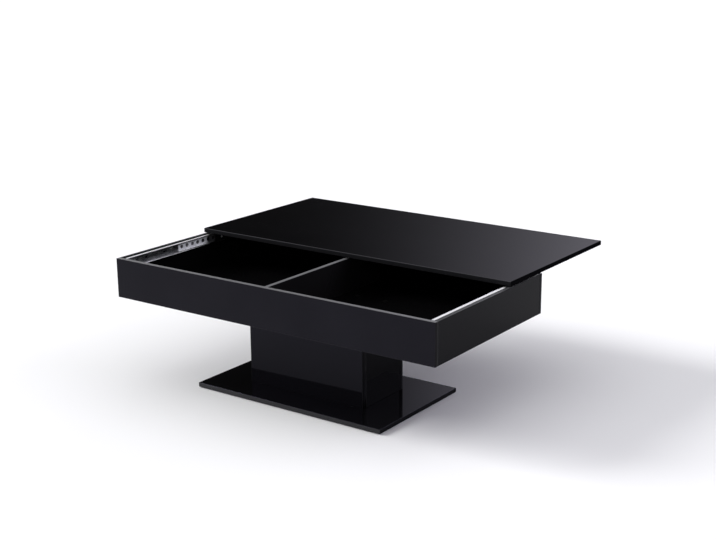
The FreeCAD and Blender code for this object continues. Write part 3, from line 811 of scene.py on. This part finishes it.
def ball_tree():
    """Two rows of balls along Y, one above the other."""
    tree, given, known = new_tree("rows_of_balls", First="Vector", Balls_per_row="Int", Pitch="Float",
                                  Row_gap="Float", Radius="Float", Steps="Int", Finish="Material")
    up = put(tree, "ShaderNodeCombineXYZ", {"Z": given["Row gap"]}).outputs[0]
    above = put(tree, "ShaderNodeVectorMath", {0: given["First"], 1: up}).outputs[0]
    joined = put(tree, "GeometryNodeJoinGeometry")
    for first in (given["First"], above):
        tree.links.new(row(tree, given["Balls per row"], first, given["Pitch"]), joined.inputs[0])
    ball = put(tree, "GeometryNodeMeshIcoSphere",
               {"Radius": given["Radius"], "Subdivisions": given["Steps"]}).outputs[0]
    close_tree(tree, copied(tree, joined.outputs[0], smoothed(tree, ball)), given["Finish"])
    return tree, known


def collar_tree():
    """A row of round collars in the holes of a cage, which face along X."""
    tree, given, known = new_tree("collars_in_holes", First="Vector", Holes="Int", Pitch="Float",
                                  Hole_radius="Float", Collar_radius="Float", Finish="Material")
    ring, section = [put(tree, "GeometryNodeCurvePrimitiveCircle",
                         {"Resolution": steps, "Radius": given[radius]}).outputs[0]
                     for radius, steps in (("Hole radius", 40), ("Collar radius", 10))]
    collar = put(tree, "GeometryNodeCurveToMesh", {"Curve": ring, "Profile Curve": section}).outputs[0]
    places = row(tree, given["Holes"], given["First"], given["Pitch"])
    tipped = put(tree, "GeometryNodeRotateInstances",
                 {"Instances": copied(tree, places, smoothed(tree, collar)),
                  "Rotation": tuple(ALONG_X), "Local Space": True})
    close_tree(tree, tipped.outputs[0], given["Finish"])
    return tree, known


def grow(name, kit, values, points=()):
    """Run a tree and keep its result as one plain mesh object."""
    tree, known = kit
    mesh = bpy.data.meshes.new(name + "_seed")
    mesh.from_pydata([tuple(point) for point in points], [], [])
    seed = new_object(name + "_seed", mesh)
    modifier = seed.modifiers.new(name, "NODES")
    modifier.node_group = tree
    for label, value in values.items():
        modifier[known[label]] = value
    result = evaluated_mesh(seed)
    discard(seed)
    result.name = name
    return new_object(name, result)


def evaluated_mesh(thing):
    """The mesh that a thing's modifiers make; they are removed."""
    bpy.context.view_layer.update()
    graph = bpy.context.evaluated_depsgraph_get()
    mesh = bpy.data.meshes.new_from_object(thing.evaluated_get(graph))
    thing.modifiers.clear()
    return mesh


def copies(name, kit, master, turn, places, slot):
    """One object with a copy of the master at each place."""
    return grow(name, kit, {"Fastener": master, "Turn": tuple(turn), "Finish": finish_for(slot)}, places)


def fasten(name, kit, master, node, turn):
    """Put copies of a master in the place of a CAD node's solids."""
    thing = copies(name, kit, master, turn, middles(solids_of(node)), SLOTS[node])
    settle(thing, body_of(node), SLOTS[node], node)


# ---- masters -----------------------------------------------------------------
ROUND = 32
MACHINE_HEAD = 2.4 / 3.5  # height of a pan head as a share of its radius
HANGER_HEAD = 2.2 / 3.4
CROSS_SIZE = 4.0 * MM
RAIL_TIP = 3.0 * MM
PANEL_TIP = 4.0 * MM
CUTTER_RISE = 0.2 * MM  # how far a cutter stands out of the head
FRAY = 0.3 * MM
FINE_CORNERS = math.radians(20)


def cut(thing, cutter):
    """Take the cutter's shape out of a thing and remove the cutter."""
    knife = thing.modifiers.new("cut", "BOOLEAN")
    knife.operation = "DIFFERENCE"
    knife.solver = "EXACT"
    knife.object = cutter
    thing.data = evaluated_mesh(thing)
    thing.data.shade_smooth()
    thing.data.set_sharp_from_angle(angle=SHARP)
    discard(cutter)


def cross_cutter(size, top, fasteners):
    """A four-armed recess with arms that narrow as they go down."""
    arm = fasteners.recess_width / 2
    loops = []
    for height, reach in ((top - fasteners.recess_depth, 0.35), (top + CUTTER_RISE, 1.0)):
        half = size / 2 * reach
        outline = [(half, arm), (arm, arm), (arm, half), (-arm, half), (-arm, arm), (-half, arm),
                   (-half, -arm), (-arm, -arm), (-arm, -half), (arm, -half), (arm, -arm), (half, -arm)]
        loops.append([(x, y, height) for x, y in outline])
    return loft("cutter", loops)


def socket_cutter(flats, top, depth):
    """A hexagon socket with a conical floor."""
    corner = flats / math.sqrt(3)
    rim = top + CUTTER_RISE
    profile = [(0, top - depth - 0.5 * MM), (corner, top - depth), (corner, rim), (0, rim)]
    return from_bmesh("cutter", lathe(profile, 6))


def centred(thing):
    """Move a master so that the middle of its height is at the origin."""
    heights = [vertex.co.z for vertex in thing.data.vertices]
    thing.data.transform(Matrix.Translation((0, 0, -(min(heights) + max(heights)) / 2)))
    return thing


def threaded(radius, low, high, pitch, fasteners):
    """Profile points of ridges from low to high: crest, flank and root."""
    root = radius - pitch * fasteners.thread_share
    turns = max(int((high - low) / pitch), 1)
    step = (high - low) / turns
    points = []
    for turn in range(turns):
        foot = low + turn * step
        points += [(root, foot), (root, foot + step * 0.25), (radius, foot + step * 0.5),
                   (radius, foot + step * 0.65)]
    return points + [(root, high)]


def head_and_length(node, axis):
    """Head radius and length along an axis of the screws of a CAD node."""
    low, high = solids_of(node)[0]
    size = high - low
    return min(size[other] for other in range(3) if other != axis) / 2, size[axis]


def downward(name, points):
    """Turn a profile whose heights count down from the head."""
    return from_bmesh(name, lathe([(radius, -height) for radius, height in points], ROUND))


def pan_screw(name, node, axis, shank, head_share, pitch, fasteners):
    """A pan-head screw with a cross recess, the size of a CAD node's screws."""
    head, long = head_and_length(node, axis)
    head_height = head * head_share
    crown = head_height * 0.55
    points = [(0, 0), (head - crown, 0)]
    points += arc(head - crown, crown, crown, -90, 0, 5)[1:]
    points += [(head, head_height), (shank, head_height)]
    points += threaded(shank, head_height + 0.3 * MM, long - 0.4 * MM, pitch, fasteners)
    points += [(shank * 0.7, long), (0, long)]
    screw = downward(name, points)
    cut(screw, cross_cutter(head * 1.25, 0, fasteners))
    return centred(screw)


def sunk_screw(name, node, axis, shank, tip, pitch, cutter, fasteners):
    """A countersunk screw with a drive cut into it, the size of a CAD node's screws."""
    head, long = head_and_length(node, axis)
    cone = head - shank
    points = [(0, 0), (head - 0.15 * MM, 0), (head, 0.1 * MM), (shank, cone), (shank, cone + 1.0 * MM)]
    points += threaded(shank, cone + 1.2 * MM, long - tip, pitch, fasteners)
    points += [(shank * 0.7, long - tip * 0.55), (shank * 0.3, long - tip * 0.1), (0, long)]
    screw = downward(name, points)
    cut(screw, cutter)
    return centred(screw)


def fluted_dowel(across, long, fasteners):
    """An upright fluted dowel with chamfered ends."""
    radius = across / 2
    half = long / 2
    chamfer = radius * 0.35

    def fluted(turn, reach, height):
        wave = 0.5 - 0.5 * math.cos(fasteners.flutes * turn)
        return reach - (fasteners.flute_depth * wave if abs(height) < half - chamfer * 1.01 else 0)

    upper = [(radius, half - chamfer * 1.6), (radius, half - chamfer), (radius - chamfer, half), (0, half)]
    lower = [(reach, -height) for reach, height in reversed(upper)]
    return from_bmesh("dowel", lathe(lower + upper, fasteners.flutes * 4, fluted))


def felt_pad(box):
    """A punched felt disc with a softly frayed edge."""
    radius = (box[1].x - box[0].x) / 2
    thick = box[1].z - box[0].z
    soft = thick * 0.35

    def frayed(turn, reach, height):
        fray = 0.35 * math.sin(17 * turn + height * 2500)
        fray = fray + 0.35 * math.sin(41 * turn) + 0.3 * math.sin(73 * turn)
        return reach - (0.5 + 0.5 * fray) * FRAY * reach / radius

    points = [(0, 0), (radius * 0.5, 0)]
    points += arc(radius - soft, soft, soft, -90, 0, 4) + arc(radius - soft, thick - soft, soft, 0, 90, 4)
    points += [(radius * 0.5, thick), (0, thick)]
    return centred(from_bmesh("felt_pad", lathe(points, 96, frayed)))


def hexagon_nut(box, bore):
    """A chamfered hexagon nut; the box gives its height along X and flats along Y."""
    tall, flats, corners = box[1] - box[0]
    flat = flats / 2
    corner = corners / 2
    lead = 0.3 * MM
    chamfer = 0.4 * MM

    def hexagon(turn, reach, height):
        return min(reach, flat / math.cos(turn % (math.pi / 3) - math.pi / 6))

    points = [(bore, lead), (bore + lead, 0), (flat * 0.97, 0), (corner, chamfer), (corner, tall - chamfer),
              (flat * 0.97, tall), (bore + lead, tall), (bore, tall - lead)]
    return centred(from_bmesh("hexagon_nut", lathe(points, 36, hexagon), smooth_angle=FINE_CORNERS))


def press_cap(name, radius, thick, peg_radius, peg):
    """A low domed cover cap with a ring round it and a peg below."""
    points = [(0, -peg), (peg_radius * 0.8, -peg), (peg_radius, -peg * 0.85), (peg_radius, 0),
              (radius * 0.97, 0)]
    points += arc(radius - thick * 0.4, thick * 0.4, thick * 0.4, -60, 75, 5)
    points += [(radius * 0.88, thick * 0.84), (radius * 0.86, thick * 0.74), (radius * 0.82, thick * 0.74),
               (radius * 0.8, thick * 0.86), (radius * 0.5, thick * 0.96), (0, thick)]
    return from_bmesh(name, lathe(points, 48), smooth_angle=math.radians(50))


def low_rivet(radius, height):
    """A closed rivet head with a dimple, on a short shank."""
    shank = -0.3 * MM
    points = [(0, shank), (radius * 0.5, shank), (radius * 0.5, 0), (radius * 0.97, 0),
              (radius, height * 0.25), (radius * 0.93, height * 0.6), (radius * 0.7, height * 0.88),
              (radius * 0.35, height), (radius * 0.12, height * 0.86), (0, height * 0.84)]
    return from_bmesh("rail_rivet", lathe(points, ROUND))


# ---- operators ---------------------------------------------------------------
class TABLE_OT_boards(bpy.types.Operator):
    """Give every board its gloss laminate."""

    bl_idname = "sliding_table.boards"
    bl_label = "Gloss Boards"

    def execute(self, context):
        boards = context.scene.sliding_table.boards
        for node, slot in SLOTS.items():
            if slot == "gloss_black" and node != "sliding_top" and node not in LONG_BOARDS:
                dress(node, gloss_laminate(node, boards))
        return {"FINISHED"}


class TABLE_OT_top(bpy.types.Operator):
    """Build the sliding top as a laminated panel inside an edge band."""

    bl_idname = "sliding_table.top"
    bl_label = "Sliding Top"

    def execute(self, context):
        boards = context.scene.sliding_table.boards
        low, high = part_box("sliding_top")
        middle, half = middle_and_half("sliding_top")
        thick = boards.joint_inset
        nick = boards.joint_width * 0.7
        ease = boards.edge_ease

        def loop_at(inward, height):
            radius = max(ease + 0.3 * MM - inward, 0.05 * MM)
            return rounded_loop(middle, half.x - inward, half.y - inward, radius, height)

        edge = thick + 0.02 * MM
        loops = [loop_at(edge + nick, low.z), loop_at(edge, low.z + nick), loop_at(edge, high.z - nick),
                 loop_at(edge + nick, high.z)]
        panel = loft("top_panel", loops, gloss_laminate("sliding_top", boards))
        settle(panel, "top", "gloss_black", "sliding_top")

        section = [(thick, low.z + nick), (thick - nick, low.z)]
        section += arc(ease, low.z + ease, ease, 270, 180, 5) + arc(ease, high.z - ease, ease, 180, 90, 5)
        section += [(thick - nick, high.z), (thick, high.z - nick)]
        loops = [loop_at(inward, height) for inward, height in section]
        settle(loft("top_edge_band", loops, top_band(boards, low, high), ring=True), "top", "gloss_black")
        return {"FINISHED"}


class TABLE_OT_end_bands(bpy.types.Operator):
    """Close the ends of the long boards with gloss bands of their own."""

    bl_idname = "sliding_table.end_bands"
    bl_label = "Gloss End Bands"

    def execute(self, context):
        boards = context.scene.sliding_table.boards
        thick = boards.end_band_thickness
        for node in LONG_BOARDS:
            low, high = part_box(node)
            shape = merged_copy(node)
            for vertex in shape.verts:
                vertex.co.x = min(max(vertex.co.x, low.x + thick), high.x - thick)
            bmesh.ops.dissolve_degenerate(shape, edges=shape.edges, dist=SAME_SPOT)
            panel = from_bmesh(node + "_panel", shape, gloss_laminate(node, boards))
            settle(panel, body_of(node), "gloss_black", node)
            finish = gloss_laminate(node, boards, at_end=True)
            for label, start in (("left", low.x), ("right", high.x - thick)):
                corners = (Vector((start, low.y, low.z)), Vector((start + thick, high.y, high.z)))
                band = strip("_".join((node, label, "gloss_band")), *corners, boards.band_ease, finish)
                settle(band, body_of(node), "gloss_black")
        return {"FINISHED"}


class TABLE_OT_edge_bands(bpy.types.Operator):
    """Lay the satin edge bands on the rims, the divider and the base plate."""

    bl_idname = "sliding_table.edge_bands"
    bl_label = "Edge Bands"

    def execute(self, context):
        boards = context.scene.sliding_table.boards
        rim = satin_band("satin_rim_band", boards.band, 0.5, boards)
        # The end rims take darker copies of the satin band: painted shade.
        end_rims = {"box_left_end": satin_band("satin_left_rim_shaded_band", boards.left_rim_painted_shade, 0.3, boards),
                    "box_right_end": satin_band("satin_right_rim_shaded_band", boards.end_band, 0.5, boards)}
        base = satin_band("satin_base_band", boards.base_band, 0.03, boards)
        # Painted shade: the base plate's end bands are darker than its front and back bands.
        base_end = satin_band("base_end_band_painted_shade", boards.base_end_painted_shade, 0.02, boards)
        rims = ("box_front", "box_back", "box_left_end", "box_right_end", "box_divider")
        faces = [(node, 2, 1, end_rims.get(node, rim)) for node in rims]
        faces += [("base_plate", axis, side, finish) for axis, finish in ((0, base_end), (1, base))
                  for side in (-1, 1)]
        proud = boards.band_thickness
        for node, axis, side, finish in faces:
            low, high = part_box(node)
            for other in range(3):
                if other != axis:
                    low[other] += boards.band_setback
                    high[other] -= boards.band_setback
            if node == "box_left_end":
                high.x -= boards.slide_setback
            elif node == "box_right_end":
                low.x += boards.slide_setback
            face = high[axis] if side > 0 else low[axis]
            low[axis] = min(face, face + side * proud)
            high[axis] = max(face, face + side * proud)
            name = "_".join((node, "edge_band", "xyz"[axis], "high" if side > 0 else "low"))
            settle(strip(name, low, high, proud * 0.45, finish.material), body_of(node), "gloss_black")
        return {"FINISHED"}


class TABLE_OT_slides(bpy.types.Operator):
    """Finish the rails, carriages, cages, hangers and bumpers."""

    bl_idname = "sliding_table.slides"
    bl_label = "Slide Finishes"

    def execute(self, context):
        rail = rail_steel(context.scene.sliding_table.slides)
        for node, slot in SLOTS.items():
            if slot in ("rail_zinc", "cage_zinc", "hanger_black", "bumper_rubber"):
                dress(node, rail if node.endswith("_slide_rail") else finish_for(slot))
        return {"FINISHED"}


class TABLE_OT_rail_lips(bpy.types.Operator):
    """Roll a burnished lip along both flanges of each rail."""

    bl_idname = "sliding_table.rail_lips"
    bl_label = "Rail Lips"

    def execute(self, context):
        slides = context.scene.sliding_table.slides
        radius = slides.lip_radius
        finish = lip_steel(slides)
        for side, (inward, _, _) in SIDES.items():
            node = side + "_slide_rail"
            low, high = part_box(node)
            across = face_x((low, high), inward) - inward * radius / 2
            lips = [round_bar("lip", Vector((across, low.y + radius, height)),
                              high.y - low.y - 2 * radius, radius, finish)
                    for height in (low.z + radius / 2, high.z - radius / 2)]
            settle(merge(side + "_rail_lips", lips), body_of(node), "rail_zinc")
        return {"FINISHED"}


class TABLE_OT_balls(bpy.types.Operator):
    """Put the balls in both cages."""

    bl_idname = "sliding_table.balls"
    bl_label = "Cage Balls"

    def execute(self, context):
        kit = ball_tree()
        for side in SIDES:
            node = side + "_cage_balls"
            boxes = solids_of(node)
            places = middles(boxes)
            level = sum(place.z for place in places) / len(places)
            lower = sorted((place for place in places if place.z < level), key=lambda place: place.y)
            values = {
                "First": tuple(lower[0]),
                "Balls per row": len(lower),
                "Pitch": lower[1].y - lower[0].y,
                "Row gap": max(place.z for place in places) - lower[0].z,
                "Radius": (boxes[0][1].y - boxes[0][0].y) / 2,
                "Steps": context.scene.sliding_table.slides.ball_steps,
                "Finish": finish_for("ball_steel"),
            }
            settle(grow(side + "_slide_balls", kit, values), body_of(node), "ball_steel", node)
        return {"FINISHED"}


class TABLE_OT_collars(bpy.types.Operator):
    """Press a black collar into every hole of the ball cages."""

    bl_idname = "sliding_table.collars"
    bl_label = "Cage Collars"

    def execute(self, context):
        slides = context.scene.sliding_table.slides
        kit = collar_tree()
        for side, (inward, _, _) in SIDES.items():
            node = side + "_ball_cage"
            low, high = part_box(node)
            across = face_x((low, high), -inward) + inward * slides.cage_sheet
            values = {
                "First": (across, low.y + slides.hole_end, (low.z + high.z) / 2),
                "Holes": int((high.y - low.y - 2 * slides.hole_end) / slides.hole_pitch + 1.001),
                "Pitch": slides.hole_pitch,
                "Hole radius": slides.hole_radius + slides.collar_radius * 0.75,
                "Collar radius": slides.collar_radius,
                "Finish": finish_for("cap_plastic"),
            }
            settle(grow(side + "_cage_hole_collars", kit, values), body_of(node), "cap_plastic")
        return {"FINISHED"}


class TABLE_OT_rivets(bpy.types.Operator):
    """Close the low rivets in the web of each rail."""

    bl_idname = "sliding_table.rivets"
    bl_label = "Rail Rivets"

    def execute(self, context):
        slides = context.scene.sliding_table.slides
        kit = fastener_tree()
        rivet = low_rivet(slides.rivet_radius, slides.rivet_height)
        for side, (inward, facing_in, _) in SIDES.items():
            node = side + "_slide_rail"
            low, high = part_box(node)
            web = face_x((low, high), -inward) + inward * slides.rail_sheet
            places = [(web, along, (low.z + high.z) / 2) for along in slides.rivet_places]
            thing = copies(side + "_rail_rivets", kit, rivet, facing_in, places, "screw_steel")
            settle(thing, body_of(node), "screw_steel")
        discard(rivet)
        return {"FINISHED"}


class TABLE_OT_screws(bpy.types.Operator):
    """Set the threaded screws of the slides, the hangers, the base and the column."""

    bl_idname = "sliding_table.screws"
    bl_label = "Screws"

    def execute(self, context):
        fasteners = context.scene.sliding_table.fasteners
        kit = fastener_tree()
        machine = pan_screw("machine_screw", "left_carriage_screws", 0, fasteners.machine_shank,
                            MACHINE_HEAD, fasteners.fine_pitch, fasteners)
        cross = cross_cutter(CROSS_SIZE, 0, fasteners)
        rail = sunk_screw("rail_screw", "left_rail_screws", 0, fasteners.wood_shank, RAIL_TIP,
                          fasteners.coarse_pitch, cross, fasteners)
        for side, (_, facing_in, facing_out) in SIDES.items():
            for master, kind, turn in ((machine, "_carriage_screws", facing_out),
                                       (rail, "_rail_screws", facing_in)):
                fasten(side + kind + "_threaded", kit, master, side + kind, turn)
        hanger = pan_screw("hanger_screw", "top_screws", 2, fasteners.wood_shank, HANGER_HEAD,
                           fasteners.coarse_pitch, fasteners)
        socket = socket_cutter(fasteners.socket_flats, 0, fasteners.socket_depth)
        panel = sunk_screw("panel_screw", "base_screws", 2, fasteners.panel_shank, PANEL_TIP,
                           fasteners.panel_pitch, socket, fasteners)
        for master, node, turn in ((hanger, "top_screws", INVERTED), (panel, "base_screws", INVERTED),
                                   (panel, "column_top_screws", UPRIGHT)):
            fasten(node + "_threaded", kit, master, node, turn)
        discard(machine, rail, hanger, panel)
        return {"FINISHED"}


class TABLE_OT_nuts(bpy.types.Operator):
    """Set the chamfered nuts behind the hangers."""

    bl_idname = "sliding_table.nuts"
    bl_label = "Nuts"

    def execute(self, context):
        kit = fastener_tree()
        bore = context.scene.sliding_table.fasteners.machine_shank + 0.05 * MM
        nut = hexagon_nut(solids_of("left_carriage_nuts")[0], bore)
        for side in SIDES:
            node = side + "_carriage_nuts"
            fasten(node + "_chamfered", kit, nut, node, ALONG_X)
        discard(nut)
        return {"FINISHED"}


class TABLE_OT_caps(bpy.types.Operator):
    """Press the cover caps over the screws and the corner cams."""

    bl_idname = "sliding_table.caps"
    bl_label = "Cover Caps"

    def execute(self, context):
        fasteners = context.scene.sliding_table.fasteners
        kit = fastener_tree()
        boxes = solids_of("screw_caps")
        low, high = boxes[0]
        floor_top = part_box("box_bottom")[1].z
        cap = press_cap("screw_cap", (high.x - low.x) / 2, high.z - floor_top, fasteners.peg_radius,
                        floor_top - low.z)
        places = [(spot.x, spot.y, floor_top) for spot in middles(boxes)]
        thing = copies("screw_caps_domed", kit, cap, UPRIGHT, places, "cap_plastic")
        settle(thing, "table", "cap_plastic", "screw_caps")

        thick = fasteners.cover_thickness
        cover = press_cap("cam_cover", fasteners.cover_radius, thick, fasteners.peg_radius, thick)
        for side, (inward, facing_in, _) in SIDES.items():
            locks = [box for box in solids_of("box_corner_cams") if box[0].x * inward < 0]
            places = [(face_x(box, inward), middle.y, middle.z) for box, middle in zip(locks, middles(locks))]
            thing = copies(side + "_cam_covers", kit, cover, facing_in, places, "cap_plastic")
            settle(thing, "table", "cap_plastic")
        discard(cap, cover)
        return {"FINISHED"}


class TABLE_OT_dowels(bpy.types.Operator):
    """Drive the fluted dowels into the joints."""

    bl_idname = "sliding_table.dowels"
    bl_label = "Dowels"

    def execute(self, context):
        kit = fastener_tree()
        turns = (ALONG_X, ALONG_Y, UPRIGHT)
        for node in [name for name, slot in SLOTS.items() if slot == "beech"]:
            kinds = {}
            for box in solids_of(node):
                size = box[1] - box[0]
                axis = max(range(3), key=lambda index: size[index])
                kinds.setdefault((axis, round(size[axis], 5), round(min(size), 5)), []).append(box)
            parts = []
            for (axis, long, across), boxes in sorted(kinds.items()):
                master = fluted_dowel(across, long, context.scene.sliding_table.fasteners)
                parts.append(copies("dowels", kit, master, turns[axis], middles(boxes), "beech"))
                discard(master)
            settle(merge(node + "_fluted", parts), body_of(node), "beech", node)
        return {"FINISHED"}


class TABLE_OT_pads(bpy.types.Operator):
    """Stick the felt pads under the base plate."""

    bl_idname = "sliding_table.pads"
    bl_label = "Felt Pads"

    def execute(self, context):
        pad = felt_pad(solids_of("floor_pads")[0])
        fasten("felt_floor_pads", fastener_tree(), pad, "floor_pads", UPRIGHT)
        discard(pad)
        return {"FINISHED"}


class TABLE_OT_hidden_fittings(bpy.types.Operator):
    """Finish the cams and their bolts."""

    bl_idname = "sliding_table.hidden_fittings"
    bl_label = "Cams and Bolts"

    def execute(self, context):
        for node, slot in SLOTS.items():
            if node.endswith(("_cams", "_bolts")):
                dress(node, finish_for(slot))
        return {"FINISHED"}


# Soft windows: degrees left of the back where each one fades in, is full, ends and has faded;
# degrees above the floor where it fades in, is full, ends and has faded; and its strength.
WINDOWS = (
    ((42, 24, -62, -80), (7, 27, 27, 36), 1.75),
    ((-32, -44, -84, -98), (20, 27, 42, 50), 2.1),
    ((168, 150, 128, 112), (8, 20, 25, 34), 0.8),
    ((-112, -124, -146, -160), (6, 16, 27, 38), 1.25),
)
WINDOW_FALLOFF = 2.8
# Degrees above the floor: the light from overhead comes up, the pale horizon goes out.
OVERHEAD = (34, 58)
HORIZON = (5, 10.5)
DAYLIGHT = (0.98, 0.985, 1.0, 1)
FLOOR_DROP = 0.1 * MM
SENSOR_MM = 36
FAR_CLIP = 200


def rise(degrees):
    """Height of a ray of length 1 that points so far above the floor."""
    return math.sin(math.radians(degrees))


def studio_world(stage):
    """Soft light from overhead, wide low windows and a pale horizon."""
    world = bpy.data.worlds.new("studio_surroundings")
    bpy.context.scene.world = world
    world.use_nodes = True
    tree = world.node_tree
    tree.nodes.clear()
    ray = put(tree, "ShaderNodeTexCoord").outputs["Generated"]
    x, y, z = put(tree, "ShaderNodeSeparateXYZ", {"Vector": ray}).outputs
    overhead = ramp(tree, z, *map(rise, OVERHEAD), 0, stage.dome, "SMOOTHSTEP")
    horizon = ramp(tree, z, *map(rise, HORIZON), 1, 0, "SMOOTHSTEP")
    light = maths(tree, "MAXIMUM", maths(tree, "ADD", overhead, horizon), stage.haze)
    # how far to the left of the back a ray points
    turn = maths(tree, "ARCTAN2", maths(tree, "MULTIPLY", x, -1.0), y)
    panes = 0.0
    for across, (foot, sill, lintel, head), strength in WINDOWS:
        near, far, end, fade = [math.radians(degrees) for degrees in across]
        start = maths(tree, "POWER", ramp(tree, turn, near, far, 0, 1), WINDOW_FALLOFF)
        stop = ramp(tree, turn, fade, end, 0, 1, "SMOOTHSTEP")
        lower = ramp(tree, z, rise(foot), rise(sill), 0, 1)
        upper = ramp(tree, z, rise(lintel), rise(head), 1, 0, "SMOOTHSTEP")
        pane = maths(tree, "MULTIPLY", maths(tree, "MULTIPLY", start, stop),
                     maths(tree, "MULTIPLY", lower, upper))
        panes = maths(tree, "MAXIMUM", panes, maths(tree, "MULTIPLY", pane, strength * stage.window))
    soft = put(tree, "ShaderNodeBackground", {"Color": DAYLIGHT, "Strength": light})
    tinted = put(tree, "ShaderNodeBackground", {"Color": (*stage.window_tint, 1), "Strength": panes})
    both = put(tree, "ShaderNodeAddShader", {0: soft.outputs[0], 1: tinted.outputs[0]})
    put(tree, "ShaderNodeOutputWorld", {"Surface": both.outputs[0]})


def pale_paint(tone):
    """Matt paint that is clear from below."""
    paint = bpy.data.materials.new("pale_floor")
    paint.use_nodes = True
    tree = paint.node_tree
    tree.nodes.clear()
    matt = put(tree, "ShaderNodeBsdfDiffuse", {"Color": (*tone, 1)})
    clear = put(tree, "ShaderNodeBsdfTransparent")
    below = put(tree, "ShaderNodeNewGeometry").outputs["Backfacing"]
    seen = put(tree, "ShaderNodeMixShader", {0: below, 1: matt.outputs[0], 2: clear.outputs[0]})
    put(tree, "ShaderNodeOutputMaterial", {"Surface": seen.outputs[0]})
    return paint


class TABLE_OT_stage(bpy.types.Operator):
    """Lay the pale floor and set the light and the camera."""

    bl_idname = "sliding_table.stage"
    bl_label = "Stage"

    def execute(self, context):
        scene = context.scene
        stage = scene.sliding_table.stage
        shape = bmesh.new()
        bmesh.ops.create_grid(shape, x_segments=1, y_segments=1, size=stage.floor_size / 2)
        floor = from_bmesh("studio_floor", shape, pale_paint(stage.floor))
        floor.data.transform(Matrix.Translation((0, 0, -FLOOR_DROP)))

        studio_world(stage)

        lamp = bpy.data.lights.new("key_light", "SUN")
        lamp.energy = stage.sun
        lamp.angle = stage.sun_size
        key = new_object("key_light", lamp)
        level = math.cos(stage.sun_height)
        towards = Vector((-math.sin(stage.sun_turn) * level, math.cos(stage.sun_turn) * level,
                          math.sin(stage.sun_height)))
        key.rotation_mode = "QUATERNION"
        key.rotation_quaternion = towards.to_track_quat("Z", "Y")

        lens = bpy.data.cameras.new("camera")
        lens.sensor_width = SENSOR_MM
        lens.lens = stage.focal_mm
        lens.shift_x = stage.shift_x
        lens.shift_y = stage.shift_y
        lens.clip_end = FAR_CLIP
        camera = new_object("camera", lens)
        camera.location = stage.eye
        camera.rotation_euler = (QUARTER - stage.dip, 0, stage.turn)
        scene.camera = camera
        scene.view_settings.view_transform = "Standard"
        return {"FINISHED"}


OPERATORS = (
    TABLE_OT_stage, TABLE_OT_boards, TABLE_OT_top, TABLE_OT_end_bands, TABLE_OT_edge_bands,
    TABLE_OT_slides, TABLE_OT_rail_lips, TABLE_OT_balls, TABLE_OT_collars, TABLE_OT_rivets,
    TABLE_OT_screws, TABLE_OT_nuts, TABLE_OT_caps, TABLE_OT_dowels, TABLE_OT_pads,
    TABLE_OT_hidden_fittings)


class TABLE_PT_panel(bpy.types.Panel):
    """Lists the steps that dress the table, and its settings."""

    bl_idname = "TABLE_PT_panel"
    bl_label = "Sliding Top Table"
    bl_space_type = "VIEW_3D"
    bl_region_type = "UI"
    bl_category = "Table"

    def draw(self, context):
        settings = context.scene.sliding_table
        for operator in OPERATORS:
            self.layout.operator(operator.bl_idname)
        for group in (settings.boards, settings.slides, settings.fasteners, settings.stage):
            column = self.layout.box().column()
            for name in group.__annotations__:
                column.prop(group, name)


CLASSES = (BoardSettings, SlideSettings, FastenerSettings, StageSettings, TableSettings, *OPERATORS,
           TABLE_PT_panel)


def register():
    for entry in CLASSES:
        bpy.utils.register_class(entry)
    bpy.types.Scene.sliding_table = PointerProperty(type=TableSettings)


def unregister():
    del bpy.types.Scene.sliding_table
    for entry in reversed(CLASSES):
        bpy.utils.unregister_class(entry)


def main():
    register()
    for operator in OPERATORS:
        group, action = operator.bl_idname.split(".")
        getattr(getattr(bpy.ops, group), action)()


if __name__ == "__main__":
    main()
